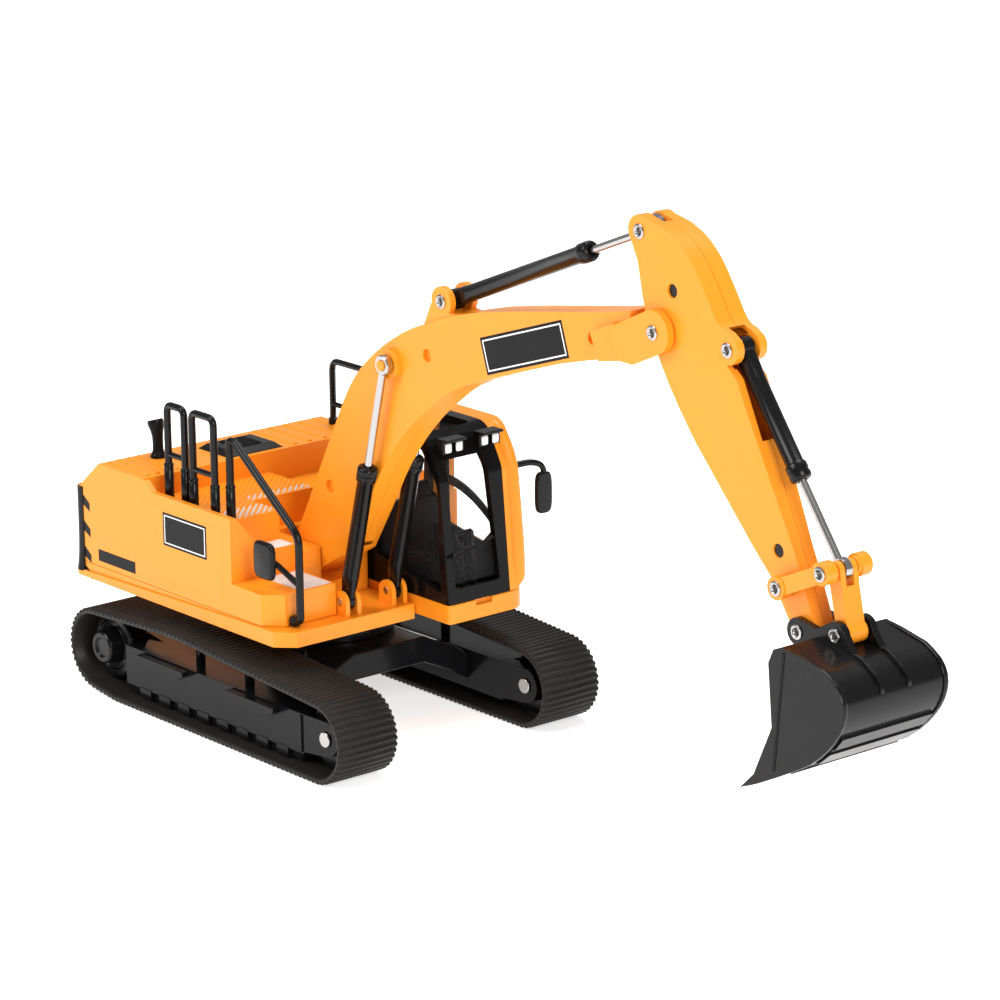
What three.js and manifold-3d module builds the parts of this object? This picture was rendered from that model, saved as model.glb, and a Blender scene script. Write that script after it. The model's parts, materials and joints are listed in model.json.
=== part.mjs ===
// Toy excavator: a crawler undercarriage with rubber belts, a slewing house with a cab, and a
// boom, arm and bucket worked by cylinders. Millimetres, +X forward, +Y left, +Z up.
// Everything is set out from the slew axis at ground level, and the last lines move the whole
// model so that its origin is the middle of its box, at the ground.
import * as THREE from "three";
import { mergeVertices } from "three/addons/utils/BufferGeometryUtils.js";
import Module from "manifold-3d";

const wasm = await Module();
wasm.setup();

// ---------------------------------------------------------------- driving dimensions

const SEAM = 0.15; // gap between two mouldings that close on each other
const RUNNING = 0.1; // radial clearance of a pin in its bore
const SIDE_GAP = 0.35; // sideways clearance between moving plates
const MEET = 0.01; // how far pieces run into each other where they are joined
const HEAD_GAP = 0.05; // clearance under the head of a pin
const WALL = 1.7; // moulded wall
const COARSE = 12; // sides of a small round piece
const FINE = 24; // sides of a large round piece

const track = {
  wheelbase: 108,
  gauge: 74.7,
  beltWidth: 20.6,
  beltThickness: 1.9,
  frontRadius: 12.2,
  rearRadius: 12.6,
  rearLift: 1.3,
  crownPlace: -14,
  crownHeight: 28.5,
  crownRadius: 150,
  crownReach: 9,
  rollerPlace: -44,
  rollerRadius: 8,
  wheelWidth: 7,
  wheelGap: 0.4,
};

const frame = {
  inner: 7.8, // inner face, from the middle of the belt towards the slew axis
  outer: 6,
  cheek: 2,
  top: 17,
  bottom: 5.2,
  rail: 2.6,
  stepWidth: 2.8,
  stepTop: 16.6,
  stepDepth: 3,
  stepPlaces: [[-34, -11], [10, 33]],
  postPlaces: [-15, 9],
  postRadius: 1.4,
  postHeight: 7.2,
  rollerCount: 8,
  rollerPitch: 9.6,
  rollerLength: 5.4,
  ribPlace: 42,
  ribWidth: 1.1,
  ribDepth: 0.5,
};

const axle = { radius: 1.5, headRadius: 2.3, headDepth: 0.7 };
const stub = { radius: 2.2, hubRadius: 5, hubDepth: 4.2, ringRadius: 3.1, ringDepth: 0.7 };

const carbody = {
  halfLength: 28,
  armWidth: 15,
  flat: 13,
  shoulder: 24,
  topHeight: 24.5,
  shoulderHeight: 19.5,
  endHeight: 16,
  plate: 8,
  waist: 17,
};

const drum = { radius: 19.5, neck: 17.6, rim: 2.4, top: 32.6 };
const slew = { radius: 3, headRadius: 6, headDepth: 1.6, tail: 7 };

const house = {
  half: 41.5,
  tail: 80,
  bottom: 33,
  deck: 37.5,
  lip: 33,
  skirt: 0.7,
  skirtRear: 34.2,
  corner: 5,
  platformFront: 27.3,
  platform: 47,
  stepBack: 1,
  stepFront: 8.5,
  step: 54.5,
  stepSide: -31.5,
  walk: 63.2,
  walkBack: -34,
  walkFront: -12,
  coaming: 66.3,
  coamingWidth: 1.9,
  hood: 69.5,
  hoodRear: -57,
  bevelDrop: 8.4,
  bevelRun: 10,
  tailTop: 57,
  cabBay: 60,
  cabBayFront: 9,
};

const mount = { front: 13, top: 53.8, back: -9, floor: 42.5, left: 4.2 };

const boomLine = -7; // the middle plane of the boom, beside the cab
const boom = {
  foot: [6, 50.5],
  length: 179.6,
  angle: 31.2,
  half: 5.4,
  footRadius: 6.6,
  tipRadius: 6,
  forkHalf: 7.8,
  forkPlate: 2.2,
  forkReach: 16,
  lug: [0.5468, 40.2], // share of the length, and height
  lugRadius: 4.2,
  lugHalf: 4.9,
  lugPlate: 1.9,
};

const cylinder = {
  barrel: 2.4,
  bore: 1.95,
  rod: 1.1,
  collar: 2.9,
  collarLength: 4.5,
  eyeOuter: 2.9,
  eyeWidth: 2,
  pin: 1.2,
  boredDepth: 3, // solid end of a barrel, past its neck
};
const lift = { base: [28.5, 41.5], eye: [68.9, 33.1], room: 0.6, bossRadius: 4.2, rodInside: 24 };
lift.offset = boom.half + cylinder.barrel + lift.room; // from the boom's middle plane

// Half the space that the two lift cylinders and their lugs take up beside the boom.
const lug = { thickness: 1.4 };
const lugOuter = lift.offset + cylinder.eyeWidth / 2 + SIDE_GAP + lug.thickness;
const platformSide = boomLine - lugOuter - 2 * SEAM;

const arm = {
  length: 86.6,
  angle: -52.6,
  half: 5.2,
  endHalf: 3.4,
  eye: [-24.8, 8.9],
  eyeRadius: 4.4,
  slot: 3.4,
  bucketLug: [15.9, 20.1],
  bucketLugRadius: 4,
  rockerPlace: [-11.9, 1.8],
  endRadius: 4.6,
  taper: 30,
};

const rocker = { eye: [16.2, 7.4], radius: 3.1, half: 7.8, plate: 3.4, crossRadius: 2.6 };
const link = { half: 3.1, radius: 3, thickness: 4.2 };

const bucket = {
  width: 36.8,
  linkPin: [13.8, 2.1],
  earRadius: 3.7,
  earHalf: 5.75,
  earPlate: 2,
  shell: 1.5,
  side: 1.4,
};

const barrelLength = { lift: 43.5, arm: 62.5, bucket: 38 };

const pinHead = { radius: 2, depth: 0.45 };

const rail = { radius: 1.05, socket: 1.45, bend: 3 };

const cab = {
  right: 5.5,
  left: 34.5,
  rear: 11,
  front: 49,
  lean: 6,
  base: 34.4,
  sill: 40,
  roof: 89,
  post: 2.2,
  glass: 0.8,
  corner: 6,
  floor: 2.2,
  edge: 6, // width of the yellow side at the front and on the roof
};

// ---------------------------------------------------------------- geometry helpers

// A closed three.js geometry as a solid that can be joined and cut.
function solid(geometry) {
  const bare = new THREE.BufferGeometry();
  const source = geometry.index ? geometry.toNonIndexed() : geometry;
  bare.setAttribute("position", source.getAttribute("position"));
  const merged = mergeVertices(bare, 1e-5);
  return new wasm.Manifold(new wasm.Mesh({
    numProp: 3,
    vertProperties: new Float32Array(merged.getAttribute("position").array),
    triVerts: new Uint32Array(merged.index.array),
  }));
}

function join(first, ...others) {
  return others.reduce((sum, other) => sum.add(other), first);
}

function cut(first, ...others) {
  return others.reduce((rest, other) => rest.subtract(other), first);
}

// A box between two limits on each axis.
function block([x0, x1], [y0, y1], [z0, z1]) {
  const geometry = new THREE.BoxGeometry(x1 - x0, y1 - y0, z1 - z0);
  geometry.translate((x0 + x1) / 2, (y0 + y1) / 2, (z0 + z1) / 2);
  return solid(geometry);
}

// An outline whose corners [a, b, radius] are rounded by arcs.
function rounded(corners, steps = 4) {
  const points = [];
  corners.forEach(([a, b, radius = 0], i) => {
    const corner = new THREE.Vector2(a, b);
    if (radius === 0) {
      points.push(corner);
      return;
    }
    const before = corners[(i + corners.length - 1) % corners.length];
    const after = corners[(i + 1) % corners.length];
    const back = new THREE.Vector2(before[0] - a, before[1] - b);
    const ahead = new THREE.Vector2(after[0] - a, after[1] - b);
    const half = Math.acos(back.dot(ahead) / (back.length() * ahead.length())) / 2;
    const reach = Math.min(radius / Math.tan(half), back.length() / 2, ahead.length() / 2);
    const start = corner.clone().addScaledVector(back.normalize(), reach);
    const end = corner.clone().addScaledVector(ahead.normalize(), reach);
    for (let k = 0; k <= steps; k += 1) {
      const t = k / steps;
      const arc = start.clone().multiplyScalar((1 - t) * (1 - t));
      arc.addScaledVector(corner, 2 * t * (1 - t));
      arc.addScaledVector(end, t * t);
      points.push(arc);
    }
  });
  return points;
}

function asPoints(outline) {
  return outline.map((p) => (p.isVector2 ? p : new THREE.Vector2(p[0], p[1])));
}

// A plan outline in X and Y, raised between two heights.
function slab(outline, [z0, z1]) {
  const options = { depth: z1 - z0, bevelEnabled: false, steps: 1 };
  const geometry = new THREE.ExtrudeGeometry(new THREE.Shape(asPoints(outline)), options);
  geometry.translate(0, 0, z0);
  return solid(geometry);
}

// A side outline in X and Z, drawn out across Y.
function plate(outline, [y0, y1]) {
  const options = { depth: y1 - y0, bevelEnabled: false, steps: 1 };
  const geometry = new THREE.ExtrudeGeometry(new THREE.Shape(asPoints(outline)), options);
  geometry.rotateX(Math.PI / 2);
  geometry.translate(0, y1, 0);
  return solid(geometry);
}

// A front outline in Y and Z, drawn out along X.
function section(outline, [x0, x1]) {
  const options = { depth: x1 - x0, bevelEnabled: false, steps: 1 };
  const geometry = new THREE.ExtrudeGeometry(new THREE.Shape(asPoints(outline)), options);
  geometry.rotateX(Math.PI / 2);
  geometry.rotateZ(Math.PI / 2);
  geometry.translate(x0, 0, 0);
  return solid(geometry);
}

// A round bar between two points, tapering when two radii are given.
function bar(from, to, radius, sides = COARSE, endRadius = radius) {
  const start = new THREE.Vector3(...from);
  const along = new THREE.Vector3(...to).sub(start);
  const geometry = new THREE.CylinderGeometry(endRadius, radius, along.length(), sides);
  geometry.translate(0, along.length() / 2, 0);
  const turn = new THREE.Quaternion().setFromUnitVectors(
    new THREE.Vector3(0, 1, 0),
    along.clone().normalize(),
  );
  geometry.applyQuaternion(turn);
  geometry.translate(start.x, start.y, start.z);
  return solid(geometry);
}

// A round bar across the machine, at a place in X and Z.
function cross([x, z], [y0, y1], radius, sides = COARSE) {
  return bar([x, y0, z], [x, y1, z], radius, sides);
}

// A path that runs straight between its points, with one station at each of them.
class Stations extends THREE.Curve {
  constructor(points) {
    super();
    this.points = points.map((point) => new THREE.Vector3(...point));
  }

  getUtoTmapping(u) {
    return u;
  }

  getPoint(t) {
    const place = t * (this.points.length - 1);
    const i = Math.min(Math.floor(place), this.points.length - 2);
    return this.points[i].clone().lerp(this.points[i + 1], place - i);
  }

  getTangent(t) {
    const last = this.points.length - 1;
    const i = Math.round(t * last);
    const ahead = this.points[Math.min(i + 1, last)].clone().sub(this.points[i]).normalize();
    const behind = this.points[i].clone().sub(this.points[Math.max(i - 1, 0)]).normalize();
    return ahead.add(behind).normalize();
  }
}

// A bent round bar: each inner point [x, y, z, radius] is a knee of that radius.
function bentBar(points, radius, sides = 8) {
  const stations = [points[0].slice(0, 3)];
  points.slice(1, -1).forEach(([x, y, z, bend = rail.bend], i) => {
    const knee = new THREE.Vector3(x, y, z);
    const before = new THREE.Vector3(...points[i].slice(0, 3)).sub(knee);
    const after = new THREE.Vector3(...points[i + 2].slice(0, 3)).sub(knee);
    const half = before.angleTo(after) / 2;
    const limit = Math.min(before.length(), after.length()) * 0.48;
    const reach = Math.min(bend / Math.tan(half), limit);
    const start = knee.clone().addScaledVector(before.normalize(), reach);
    const end = knee.clone().addScaledVector(after.normalize(), reach);
    const curve = new THREE.QuadraticBezierCurve3(start, knee, end);
    stations.push(...curve.getPoints(3).map((point) => point.toArray()));
  });
  stations.push(points.at(-1).slice(0, 3));
  const round = Array.from({ length: sides }, (_, i) => {
    const angle = (2 * Math.PI * i) / sides;
    return new THREE.Vector2(radius * Math.cos(angle), radius * Math.sin(angle));
  });
  return solid(new THREE.ExtrudeGeometry(new THREE.Shape(round), {
    steps: stations.length - 1,
    bevelEnabled: false,
    extrudePath: new Stations(stations),
  }));
}

// A turned piece about an axis across the machine: profile points are [radius, y].
function turned([x, z], profile, sides = FINE) {
  const points = profile.map(([radius, y]) => new THREE.Vector2(radius, y));
  const geometry = new THREE.LatheGeometry(points, sides);
  geometry.translate(x, 0, z);
  return solid(geometry);
}

// Places along a straight member: "near" counts from its first pin, "far" from its second, and
// "share" in parts of the length between them.
function member([x, z], length, degrees) {
  const angle = THREE.MathUtils.degToRad(degrees);
  const along = [Math.cos(angle), Math.sin(angle)];
  const near = (a, b) => [x + a * along[0] - b * along[1], z + a * along[1] + b * along[0]];
  const far = (a, b) => near(length + a, b);
  const share = (part, b) => near(length * part, b);
  return { near, far, share };
}

// Points of an arc in X and Z, from one angle to another in degrees.
function arc([x, z], radius, fromDegrees, toDegrees, steps = 6) {
  return Array.from({ length: steps + 1 }, (_, i) => {
    const angle = THREE.MathUtils.degToRad(
      fromDegrees + ((toDegrees - fromDegrees) * i) / steps,
    );
    return new THREE.Vector2(x + radius * Math.cos(angle), z + radius * Math.sin(angle));
  });
}

// A smooth curve through places on a side outline, in steps of about one part of each span.
function smooth(places, steps = 3) {
  return new THREE.SplineCurve(asPoints(places)).getPoints((places.length - 1) * steps);
}

// The convex outline round a set of points, anticlockwise.
function hull(points) {
  const sorted = [...points].sort((p, q) => p.x - q.x || p.y - q.y);
  const half = (list) => {
    const chain = [];
    for (const p of list) {
      while (chain.length > 1) {
        const [a, b] = chain.slice(-2);
        if ((b.x - a.x) * (p.y - a.y) - (b.y - a.y) * (p.x - a.x) > 1e-6) {
          break;
        }
        chain.pop();
      }
      chain.push(p);
    }
    return chain.slice(0, -1);
  };
  return [...half(sorted), ...half(sorted.reverse())];
}

function direction(from, to) {
  const [dx, dz] = [to[0] - from[0], to[1] - from[1]];
  const length = Math.hypot(dx, dz);
  return { unit: [dx / length, dz / length], length };
}

function along(from, unit, distance, side = 0) {
  return [
    from[0] + unit[0] * distance - unit[1] * side,
    from[1] + unit[1] * distance + unit[0] * side,
  ];
}

// ---------------------------------------------------------------- pins of the linkage

const boomAt = member(boom.foot, boom.length, boom.angle);
const armPivot = boomAt.far(0, 0);
const armAt = member(armPivot, arm.length, arm.angle);
const liftEye = boomAt.near(...lift.eye);
const armCylinderBase = boomAt.share(...boom.lug);
const armCylinderEye = armAt.near(...arm.eye);
const bucketCylinderBase = armAt.near(...arm.bucketLug);
const rockerPivot = armAt.far(...arm.rockerPlace);
const rockerEye = [rockerPivot[0] + rocker.eye[0], rockerPivot[1] + rocker.eye[1]];
const bucketPivot = armAt.far(0, 0);
const bucketEye = [bucketPivot[0] + bucket.linkPin[0], bucketPivot[1] + bucket.linkPin[1]];

function around(half, middle = boomLine) {
  return [middle - half, middle + half];
}

// Limits across the machine on one side of the boom's middle plane.
function beside(side) {
  return (from, to) => [boomLine + side * from, boomLine + side * to].sort((p, q) => p - q);
}

// Limits across the machine from the middle of a belt, with "out" +1 when outwards is +Y.
function outwards(out) {
  return (from, to) => [out * from, out * to].sort((p, q) => p - q);
}

// ---------------------------------------------------------------- undercarriage

// The side outline of a belt, "inset" mm inside its outer face.
function beltOutline(inset) {
  const front = track.wheelbase / 2;
  const rearHeight = track.rearRadius + track.rearLift;
  const crownAngle = THREE.MathUtils.radToDeg(track.crownReach / track.crownRadius);
  const crown = [track.crownPlace, track.crownHeight - track.crownRadius];
  return hull([
    ...arc([front, track.frontRadius], track.frontRadius - inset, -180, 180, 40),
    ...arc([-front, rearHeight], track.rearRadius - inset, -180, 180, 40),
    ...arc([track.rollerPlace, track.rollerRadius], track.rollerRadius - inset, 180, 300, 12),
    ...arc(crown, track.crownRadius - inset, 90 - crownAngle, 90 + crownAngle, 4),
  ]);
}

const frontAxle = [track.wheelbase / 2, track.frontRadius];
const rearAxle = [-track.wheelbase / 2, track.rearRadius + track.rearLift];

function trackBelt() {
  const half = track.beltWidth / 2;
  return cut(
    plate(beltOutline(0), [-half, half]),
    plate(beltOutline(track.beltThickness), [-half - 1, half + 1]),
  );
}

// A girder between the wheels. "out" is +1 when the outer side is +Y, and the piece is set out
// from the middle of its belt.
function sideFrame(out) {
  const span = outwards(out);
  const clear = track.beltThickness + track.wheelGap;
  const frontReach = frontAxle[0] - (track.frontRadius - clear) - track.wheelGap;
  const rearReach = rearAxle[0] + (track.rearRadius - clear) + track.wheelGap;
  const nose = arc(frontAxle, 5.2, -80, 80, 8);
  const cheekOutline = [[frontReach - 6, frame.bottom], ...nose, [frontReach - 6, frame.top]];
  const rearOutline = [
    [rearReach + 6, frame.top],
    ...arc(rearAxle, 5.6, 100, 260, 8),
    [rearReach + 6, frame.bottom],
  ];
  const girder = block([rearReach, frontReach], span(-frame.inner, frame.outer), [
    frame.bottom,
    frame.top,
  ]);
  const wheelSide = track.wheelWidth / 2 + SIDE_GAP;
  const pieces = [
    plate(asPoints(cheekOutline), span(wheelSide, frame.outer)),
    plate(asPoints(cheekOutline), span(-frame.inner, -wheelSide)),
    plate(asPoints(rearOutline), span(-frame.inner, -wheelSide)),
    block([rearReach + 1, frontReach - 2], span(-3, frame.outer - 1), [
      frame.bottom - frame.rail,
      frame.bottom + 1,
    ]),
    cross(rearAxle, span(-wheelSide - 0.5, track.wheelWidth / 2 - 1.2), stub.radius),
  ];
  for (const [from, to] of frame.stepPlaces) {
    const low = frame.stepTop - frame.stepDepth;
    const outline = [
      [from, frame.stepTop],
      [from, low + 1.4],
      [from + 2, low],
      [to - 3, low],
      [to, low + 1.6],
      [to, frame.stepTop],
    ];
    pieces.push(plate(outline.reverse(), span(frame.outer - 0.5, frame.outer + frame.stepWidth)));
  }
  for (const place of frame.postPlaces) {
    pieces.push(bar([place, out * -1, frame.top - 1], [place, out * -1, frame.top + frame.postHeight],
      frame.postRadius, 8));
  }
  for (let i = 0; i < frame.rollerCount; i += 1) {
    const middle = (i - (frame.rollerCount - 1) / 2) * frame.rollerPitch;
    pieces.push(block(
      [middle - frame.rollerLength / 2, middle + frame.rollerLength / 2],
      span(frame.outer - 2.5, frame.outer + 0.2),
      [frame.bottom - frame.rail + 0.1, frame.bottom + 0.4],
    ));
  }
  pieces.push(block(
    [frame.ribPlace, frame.ribPlace + frame.ribWidth],
    span(frame.outer - 0.5, frame.outer + frame.ribDepth),
    [frame.bottom + 0.4, frame.top - 0.4],
  ));
  const whole = join(girder, ...pieces);
  const bore = cross(frontAxle, [-track.beltWidth, track.beltWidth], axle.radius + RUNNING);
  return cut(whole, bore);
}

function frontWheel() {
  const radius = track.frontRadius - track.beltThickness - track.wheelGap;
  const half = track.wheelWidth / 2;
  const bore = axle.radius + RUNNING;
  return turned([0, 0], [
    [bore, -half],
    [radius - 0.6, -half],
    [radius, -half + 0.6],
    [radius, half - 0.6],
    [radius - 0.6, half],
    [bore, half],
    [bore, -half],
  ]);
}

// The rear wheel turns on a stub of the side frame and shows its hub on the outer side.
function rearWheel(out) {
  const radius = track.rearRadius - track.beltThickness - track.wheelGap;
  const half = track.wheelWidth / 2;
  const bore = stub.radius + RUNNING;
  const hub = half + stub.hubDepth;
  const profile = [
    [0, half - 1],
    [bore, half - 1],
    [bore, -half],
    [radius - 0.6, -half],
    [radius, -half + 0.6],
    [radius, half - 0.6],
    [radius - 0.6, half],
    [radius - 2.4, half],
    [radius - 3, half - 0.8],
    [stub.hubRadius + 0.6, half - 0.8],
    [stub.hubRadius, hub - 0.6],
    [stub.hubRadius - 0.6, hub],
    [stub.ringRadius, hub],
    [stub.ringRadius - 0.4, hub - stub.ringDepth],
    [0, hub - stub.ringDepth],
  ];
  return turned([0, 0], out > 0 ? profile : profile.map(([r, y]) => [r, -y]).reverse());
}

function axlePin(out) {
  const span = outwards(out);
  const outerEnd = frame.outer + axle.headDepth;
  const innerEnd = frame.inner + axle.headDepth;
  return join(
    cross([0, 0], span(-innerEnd, outerEnd), axle.radius, FINE),
    cross([0, 0], span(frame.outer + HEAD_GAP, outerEnd), axle.headRadius, FINE),
    cross([0, 0], span(-innerEnd, -frame.inner - HEAD_GAP), axle.headRadius, FINE),
  );
}

function carbodyFrame() {
  const end = track.gauge / 2 - frame.inner;
  const upper = [
    [end, carbody.endHeight],
    [carbody.shoulder, carbody.shoulderHeight],
    [carbody.flat, carbody.topHeight],
  ];
  const lower = upper.map(([y, z]) => [y, z - carbody.plate]);
  const outline = [
    ...lower.map(([y, z]) => [-y, z]),
    ...lower.slice().reverse(),
    ...upper,
    ...upper.slice().reverse().map(([y, z]) => [-y, z]),
  ];
  const bridge = section(asPoints(outline), [-carbody.halfLength, carbody.halfLength]);
  const gap = carbody.halfLength - carbody.armWidth;
  const windows = [-1, 1].map((side) => {
    const corners = [
      [-gap, side * carbody.waist, 4],
      [gap, side * carbody.waist, 4],
      [gap, side * (end + 1)],
      [-gap, side * (end + 1)],
    ];
    return slab(rounded(side > 0 ? corners : corners.reverse()), [0, carbody.topHeight + 1]);
  });
  const bore = bar([0, 0, 0], [0, 0, carbody.topHeight + 1], slew.radius + RUNNING, FINE);
  return cut(bridge, ...windows, bore);
}

function turntable() {
  const base = carbody.topHeight + SEAM;
  const bore = slew.radius + RUNNING;
  const points = [
    [bore, base],
    [drum.radius, base],
    [drum.radius, base + drum.rim],
    [drum.neck, base + drum.rim + 0.8],
    [drum.neck, drum.top - 1.6],
    [drum.radius - 0.6, drum.top - 1],
    [drum.radius - 0.6, drum.top],
    [bore, drum.top],
    [bore, base],
  ].map(([radius, height]) => new THREE.Vector2(radius, height));
  const geometry = new THREE.LatheGeometry(points, FINE);
  geometry.rotateX(Math.PI / 2);
  return solid(geometry);
}

function slewPin() {
  const top = house.deck + 0.4;
  return join(
    bar([0, 0, carbody.topHeight - slew.tail], [0, 0, top + slew.headDepth], slew.radius, FINE),
    bar([0, 0, top], [0, 0, top + slew.headDepth], slew.headRadius, FINE),
  );
}

// ---------------------------------------------------------------- house

// The plan of the house: straight sides, a tail that is part of a circle about the slew axis,
// and a front that steps back from the platform to the boom mount and to the cab.
function housePlan(inset, front) {
  const half = house.half - inset;
  const tail = house.tail - inset;
  const spread = THREE.MathUtils.radToDeg(Math.asin(half / tail));
  const corner = house.corner;
  return [
    ...arc([0, 0], tail, 180 - spread, 180 + spread, 20),
    [front - corner - inset, -half],
    [front - inset, -half + corner],
    [front - inset, half],
  ];
}

function deckPlate() {
  const plan = slab(housePlan(-house.skirt, house.lip), [house.bottom, house.deck]);
  const cabSide = block([cab.rear - 2, 90], [cab.right - SIDE_GAP, 90], [0, 90]);
  const cabBay = [house.cabBayFront + house.skirt, 90];
  const leftFront = block(cabBay, [cab.right - SIDE_GAP, 90], [0, 90]);
  const bore = bar([0, 0, 0], [0, 0, 90], slew.radius + RUNNING, FINE);
  const skirtCut = (side) => plate([
    [-90, house.skirtRear],
    [house.platformFront - house.corner, house.deck],
    [house.platformFront, house.deck + 3],
    [-90, house.deck + 3],
  ], side > 0 ? [house.half, 90] : [-90, -house.half]);
  const base = cut(plan, cabSide, leftFront, skirtCut(-1), skirtCut(1));
  const lugs = liftLugPlanes().map((plane) => liftLug(plane));
  return cut(join(base, ...lugs), bore, liftPinBore(), ...barrelPockets());
}

// Pairs of lugs on the front deck hold the lower ends of the two lift cylinders.
function liftLugPlanes() {
  const half = cylinder.eyeWidth / 2 + SIDE_GAP;
  return [-1, 1].flatMap((side) => {
    const middle = boomLine + side * lift.offset;
    return [
      [middle - half - lug.thickness, middle - half],
      [middle + half, middle + half + lug.thickness],
    ];
  });
}

function liftLug(plane) {
  const [x, z] = lift.base;
  const radius = cylinder.pin + 2;
  const outline = [
    [x + radius, house.deck - 0.5],
    ...arc(lift.base, radius, 0, 180, 8),
    [x - radius, house.deck - 0.5],
  ];
  return plate(asPoints(outline), plane).add(
    block([x - radius, x + radius], plane, [house.deck - 0.6, z]),
  );
}

function liftPinBore() {
  return cross(lift.base, around(lift.offset + 6), cylinder.pin);
}

function barrelPockets() {
  const half = cylinder.eyeWidth / 2 + SIDE_GAP;
  return [-1, 1].map((side) => {
    const middle = boomLine + side * lift.offset;
    return cross(lift.base, [middle - half, middle + half], cylinder.eyeOuter + 0.9);
  });
}

// The upper floors of the house as boxes: [x range, y range, top].
function houseFloors() {
  const side = house.half + 1;
  const middle = [platformSide, mount.left];
  return [
    [[-house.tail, house.walkBack], [-side, side], house.hood],
    [[house.walkBack, house.stepBack], [-side, middle[0]], house.walk],
    [[house.walkBack, house.walkFront], middle, house.walk],
    [[house.walkBack, house.cabBayFront], [middle[1], side], house.cabBay],
    [[house.stepBack, house.stepFront], [-side, middle[0]], house.step],
    [[house.stepFront, house.platformFront], [-side, middle[0]], house.platform],
    [[house.walkFront, mount.front], middle, mount.top],
  ];
}

function houseShape(inset, floor) {
  const top = (height) => [floor, height - inset];
  const grow = (limits, amount) => [limits[0] + amount, limits[1] - amount];
  const [first, ...rest] = houseFloors().map(([x, y, height]) => {
    const overlap = inset === 0 ? -MEET : inset / 2;
    return block(grow(x, overlap), grow(y, overlap), top(height));
  });
  const body = join(first, ...rest);
  const plan = slab(housePlan(inset, house.platformFront), [floor, 100]);
  const profile = plate([
    [-100, floor],
    [100, floor],
    [100, house.hood - inset],
    [house.hoodRear + inset / 2, house.hood - inset],
    [house.hoodRear - house.bevelRun + inset, house.hood - house.bevelDrop - inset / 2],
    [-house.tail + inset, house.tailTop - inset],
    [-100, house.tailTop - inset],
  ], [-100, 100]);
  return body.intersect(plan).intersect(profile);
}

function coaming() {
  const outer = -house.half;
  const inner = outer + house.coamingWidth;
  const wall = plate([
    [house.walkBack - 1, house.platform],
    [house.stepFront, house.platform],
    [house.stepFront, house.coaming],
    [house.walkBack + 4, house.coaming],
    [house.walkBack + 0.5, house.hood - 0.4],
    [house.walkBack - 1, house.hood - 0.4],
  ], [outer, inner]);
  const cheek = section([
    [outer, house.platform],
    [house.stepSide, house.platform],
    [house.stepSide, house.step + 2.6],
    [inner, house.coaming],
    [outer, house.coaming],
  ], [house.stepBack, house.stepFront]);
  return wall.add(cheek);
}

function bodyShell() {
  const floor = house.deck + SEAM;
  const outer = join(houseShape(0, floor), coaming());
  const cavity = houseShape(WALL, floor - 5);
  const slot = [boomLine - boom.half - SIDE_GAP, boomLine + boom.half + SIDE_GAP];
  const boomSlot = block([mount.back, mount.front + 1], slot, [mount.floor, house.hood + 1]);
  const slotWall = [slot[0] - WALL, slot[1] + WALL];
  const slotBox = block(
    [mount.back - WALL, mount.front],
    slotWall,
    [floor, mount.top],
  );
  const lugRoom = block([mount.front, 90], [platformSide, 90], [0, 90]);
  const shell = cut(join(cut(outer, cavity), slotBox), boomSlot, lugRoom);
  const foot = cross(boom.foot, around(boom.half + SIDE_GAP + WALL + 3), cylinder.pin + 0.4);
  const pinTop = house.deck + 0.4 + slew.headDepth;
  const headRoom = bar([0, 0, house.deck - 1], [0, 0, pinTop + 0.5], slew.headRadius + 0.5, FINE);
  return cut(shell, foot, ventPocket(), headRoom);
}

const vent = { x: [-51.5, -36], y: [-9, 11], height: 1.6, bevel: 1.9, sink: 0.8 };

function ventPocket() {
  const x = [vent.x[0] - SEAM, vent.x[1] + SEAM];
  const y = [vent.y[0] - SEAM, vent.y[1] + SEAM];
  return block(x, y, [house.hood - vent.sink, house.hood + 1]);
}

function hoodVent() {
  const base = house.hood - vent.sink + SEAM;
  const top = house.hood + vent.height;
  const lower = block(vent.x, vent.y, [base, top]);
  const chamfer = plate([
    [vent.x[0], base],
    [vent.x[1], base],
    [vent.x[1], house.hood],
    [vent.x[1] - vent.bevel, top],
    [vent.x[0] + vent.bevel, top],
    [vent.x[0], house.hood],
  ], [vent.y[0] - 1, vent.y[1] + 1]);
  const ends = section([
    [vent.y[0], base],
    [vent.y[1], base],
    [vent.y[1], house.hood],
    [vent.y[1] - vent.bevel, top],
    [vent.y[0] + vent.bevel, top],
    [vent.y[0], house.hood],
  ], [vent.x[0] - 1, vent.x[1] + 1]);
  return lower.intersect(chamfer).intersect(ends);
}

const stack = { place: [-51, -24], radius: 1.9, neck: 1.7, flare: 2.5, height: 12.5, lean: -1.6 };

function exhaustStack() {
  const [x, y] = stack.place;
  const base = house.hood + SEAM;
  const top = base + stack.height;
  const bend = base + stack.height * 0.5;
  const pipe = join(
    bar([x, y, base], [x, y, base + 1.2], stack.radius + 0.5),
    bar([x, y, base], [x, y, bend + 0.3], stack.radius, COARSE, stack.neck),
    bar([x, y, bend], [x + stack.lean, y, top + 1], stack.neck, COARSE, stack.flare),
  );
  const tip = plate([
    [x - 9, top - 2.4],
    [x + 9, top + 1.2],
    [x + 9, top + 9],
    [x - 9, top + 9],
  ], [y - 9, y + 9]);
  return cut(pipe, tip);
}

const rails = {
  side: -36.8,
  loops: { handrail_rear: [-27.4, -19.2], handrail_middle: [-15.2, -4.8] },
  foot: 64,
  top: 92.5,
  mid: 76,
  socketTop: 73,
  front: { side: -34.2, rear: -0.8, front: 31.2, top: 86.4, knee: 64.6, foot: 38 },
  left: { side: 38.2, x: [-46.5, -26], top: 89.6, mid: 76 },
};

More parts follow.
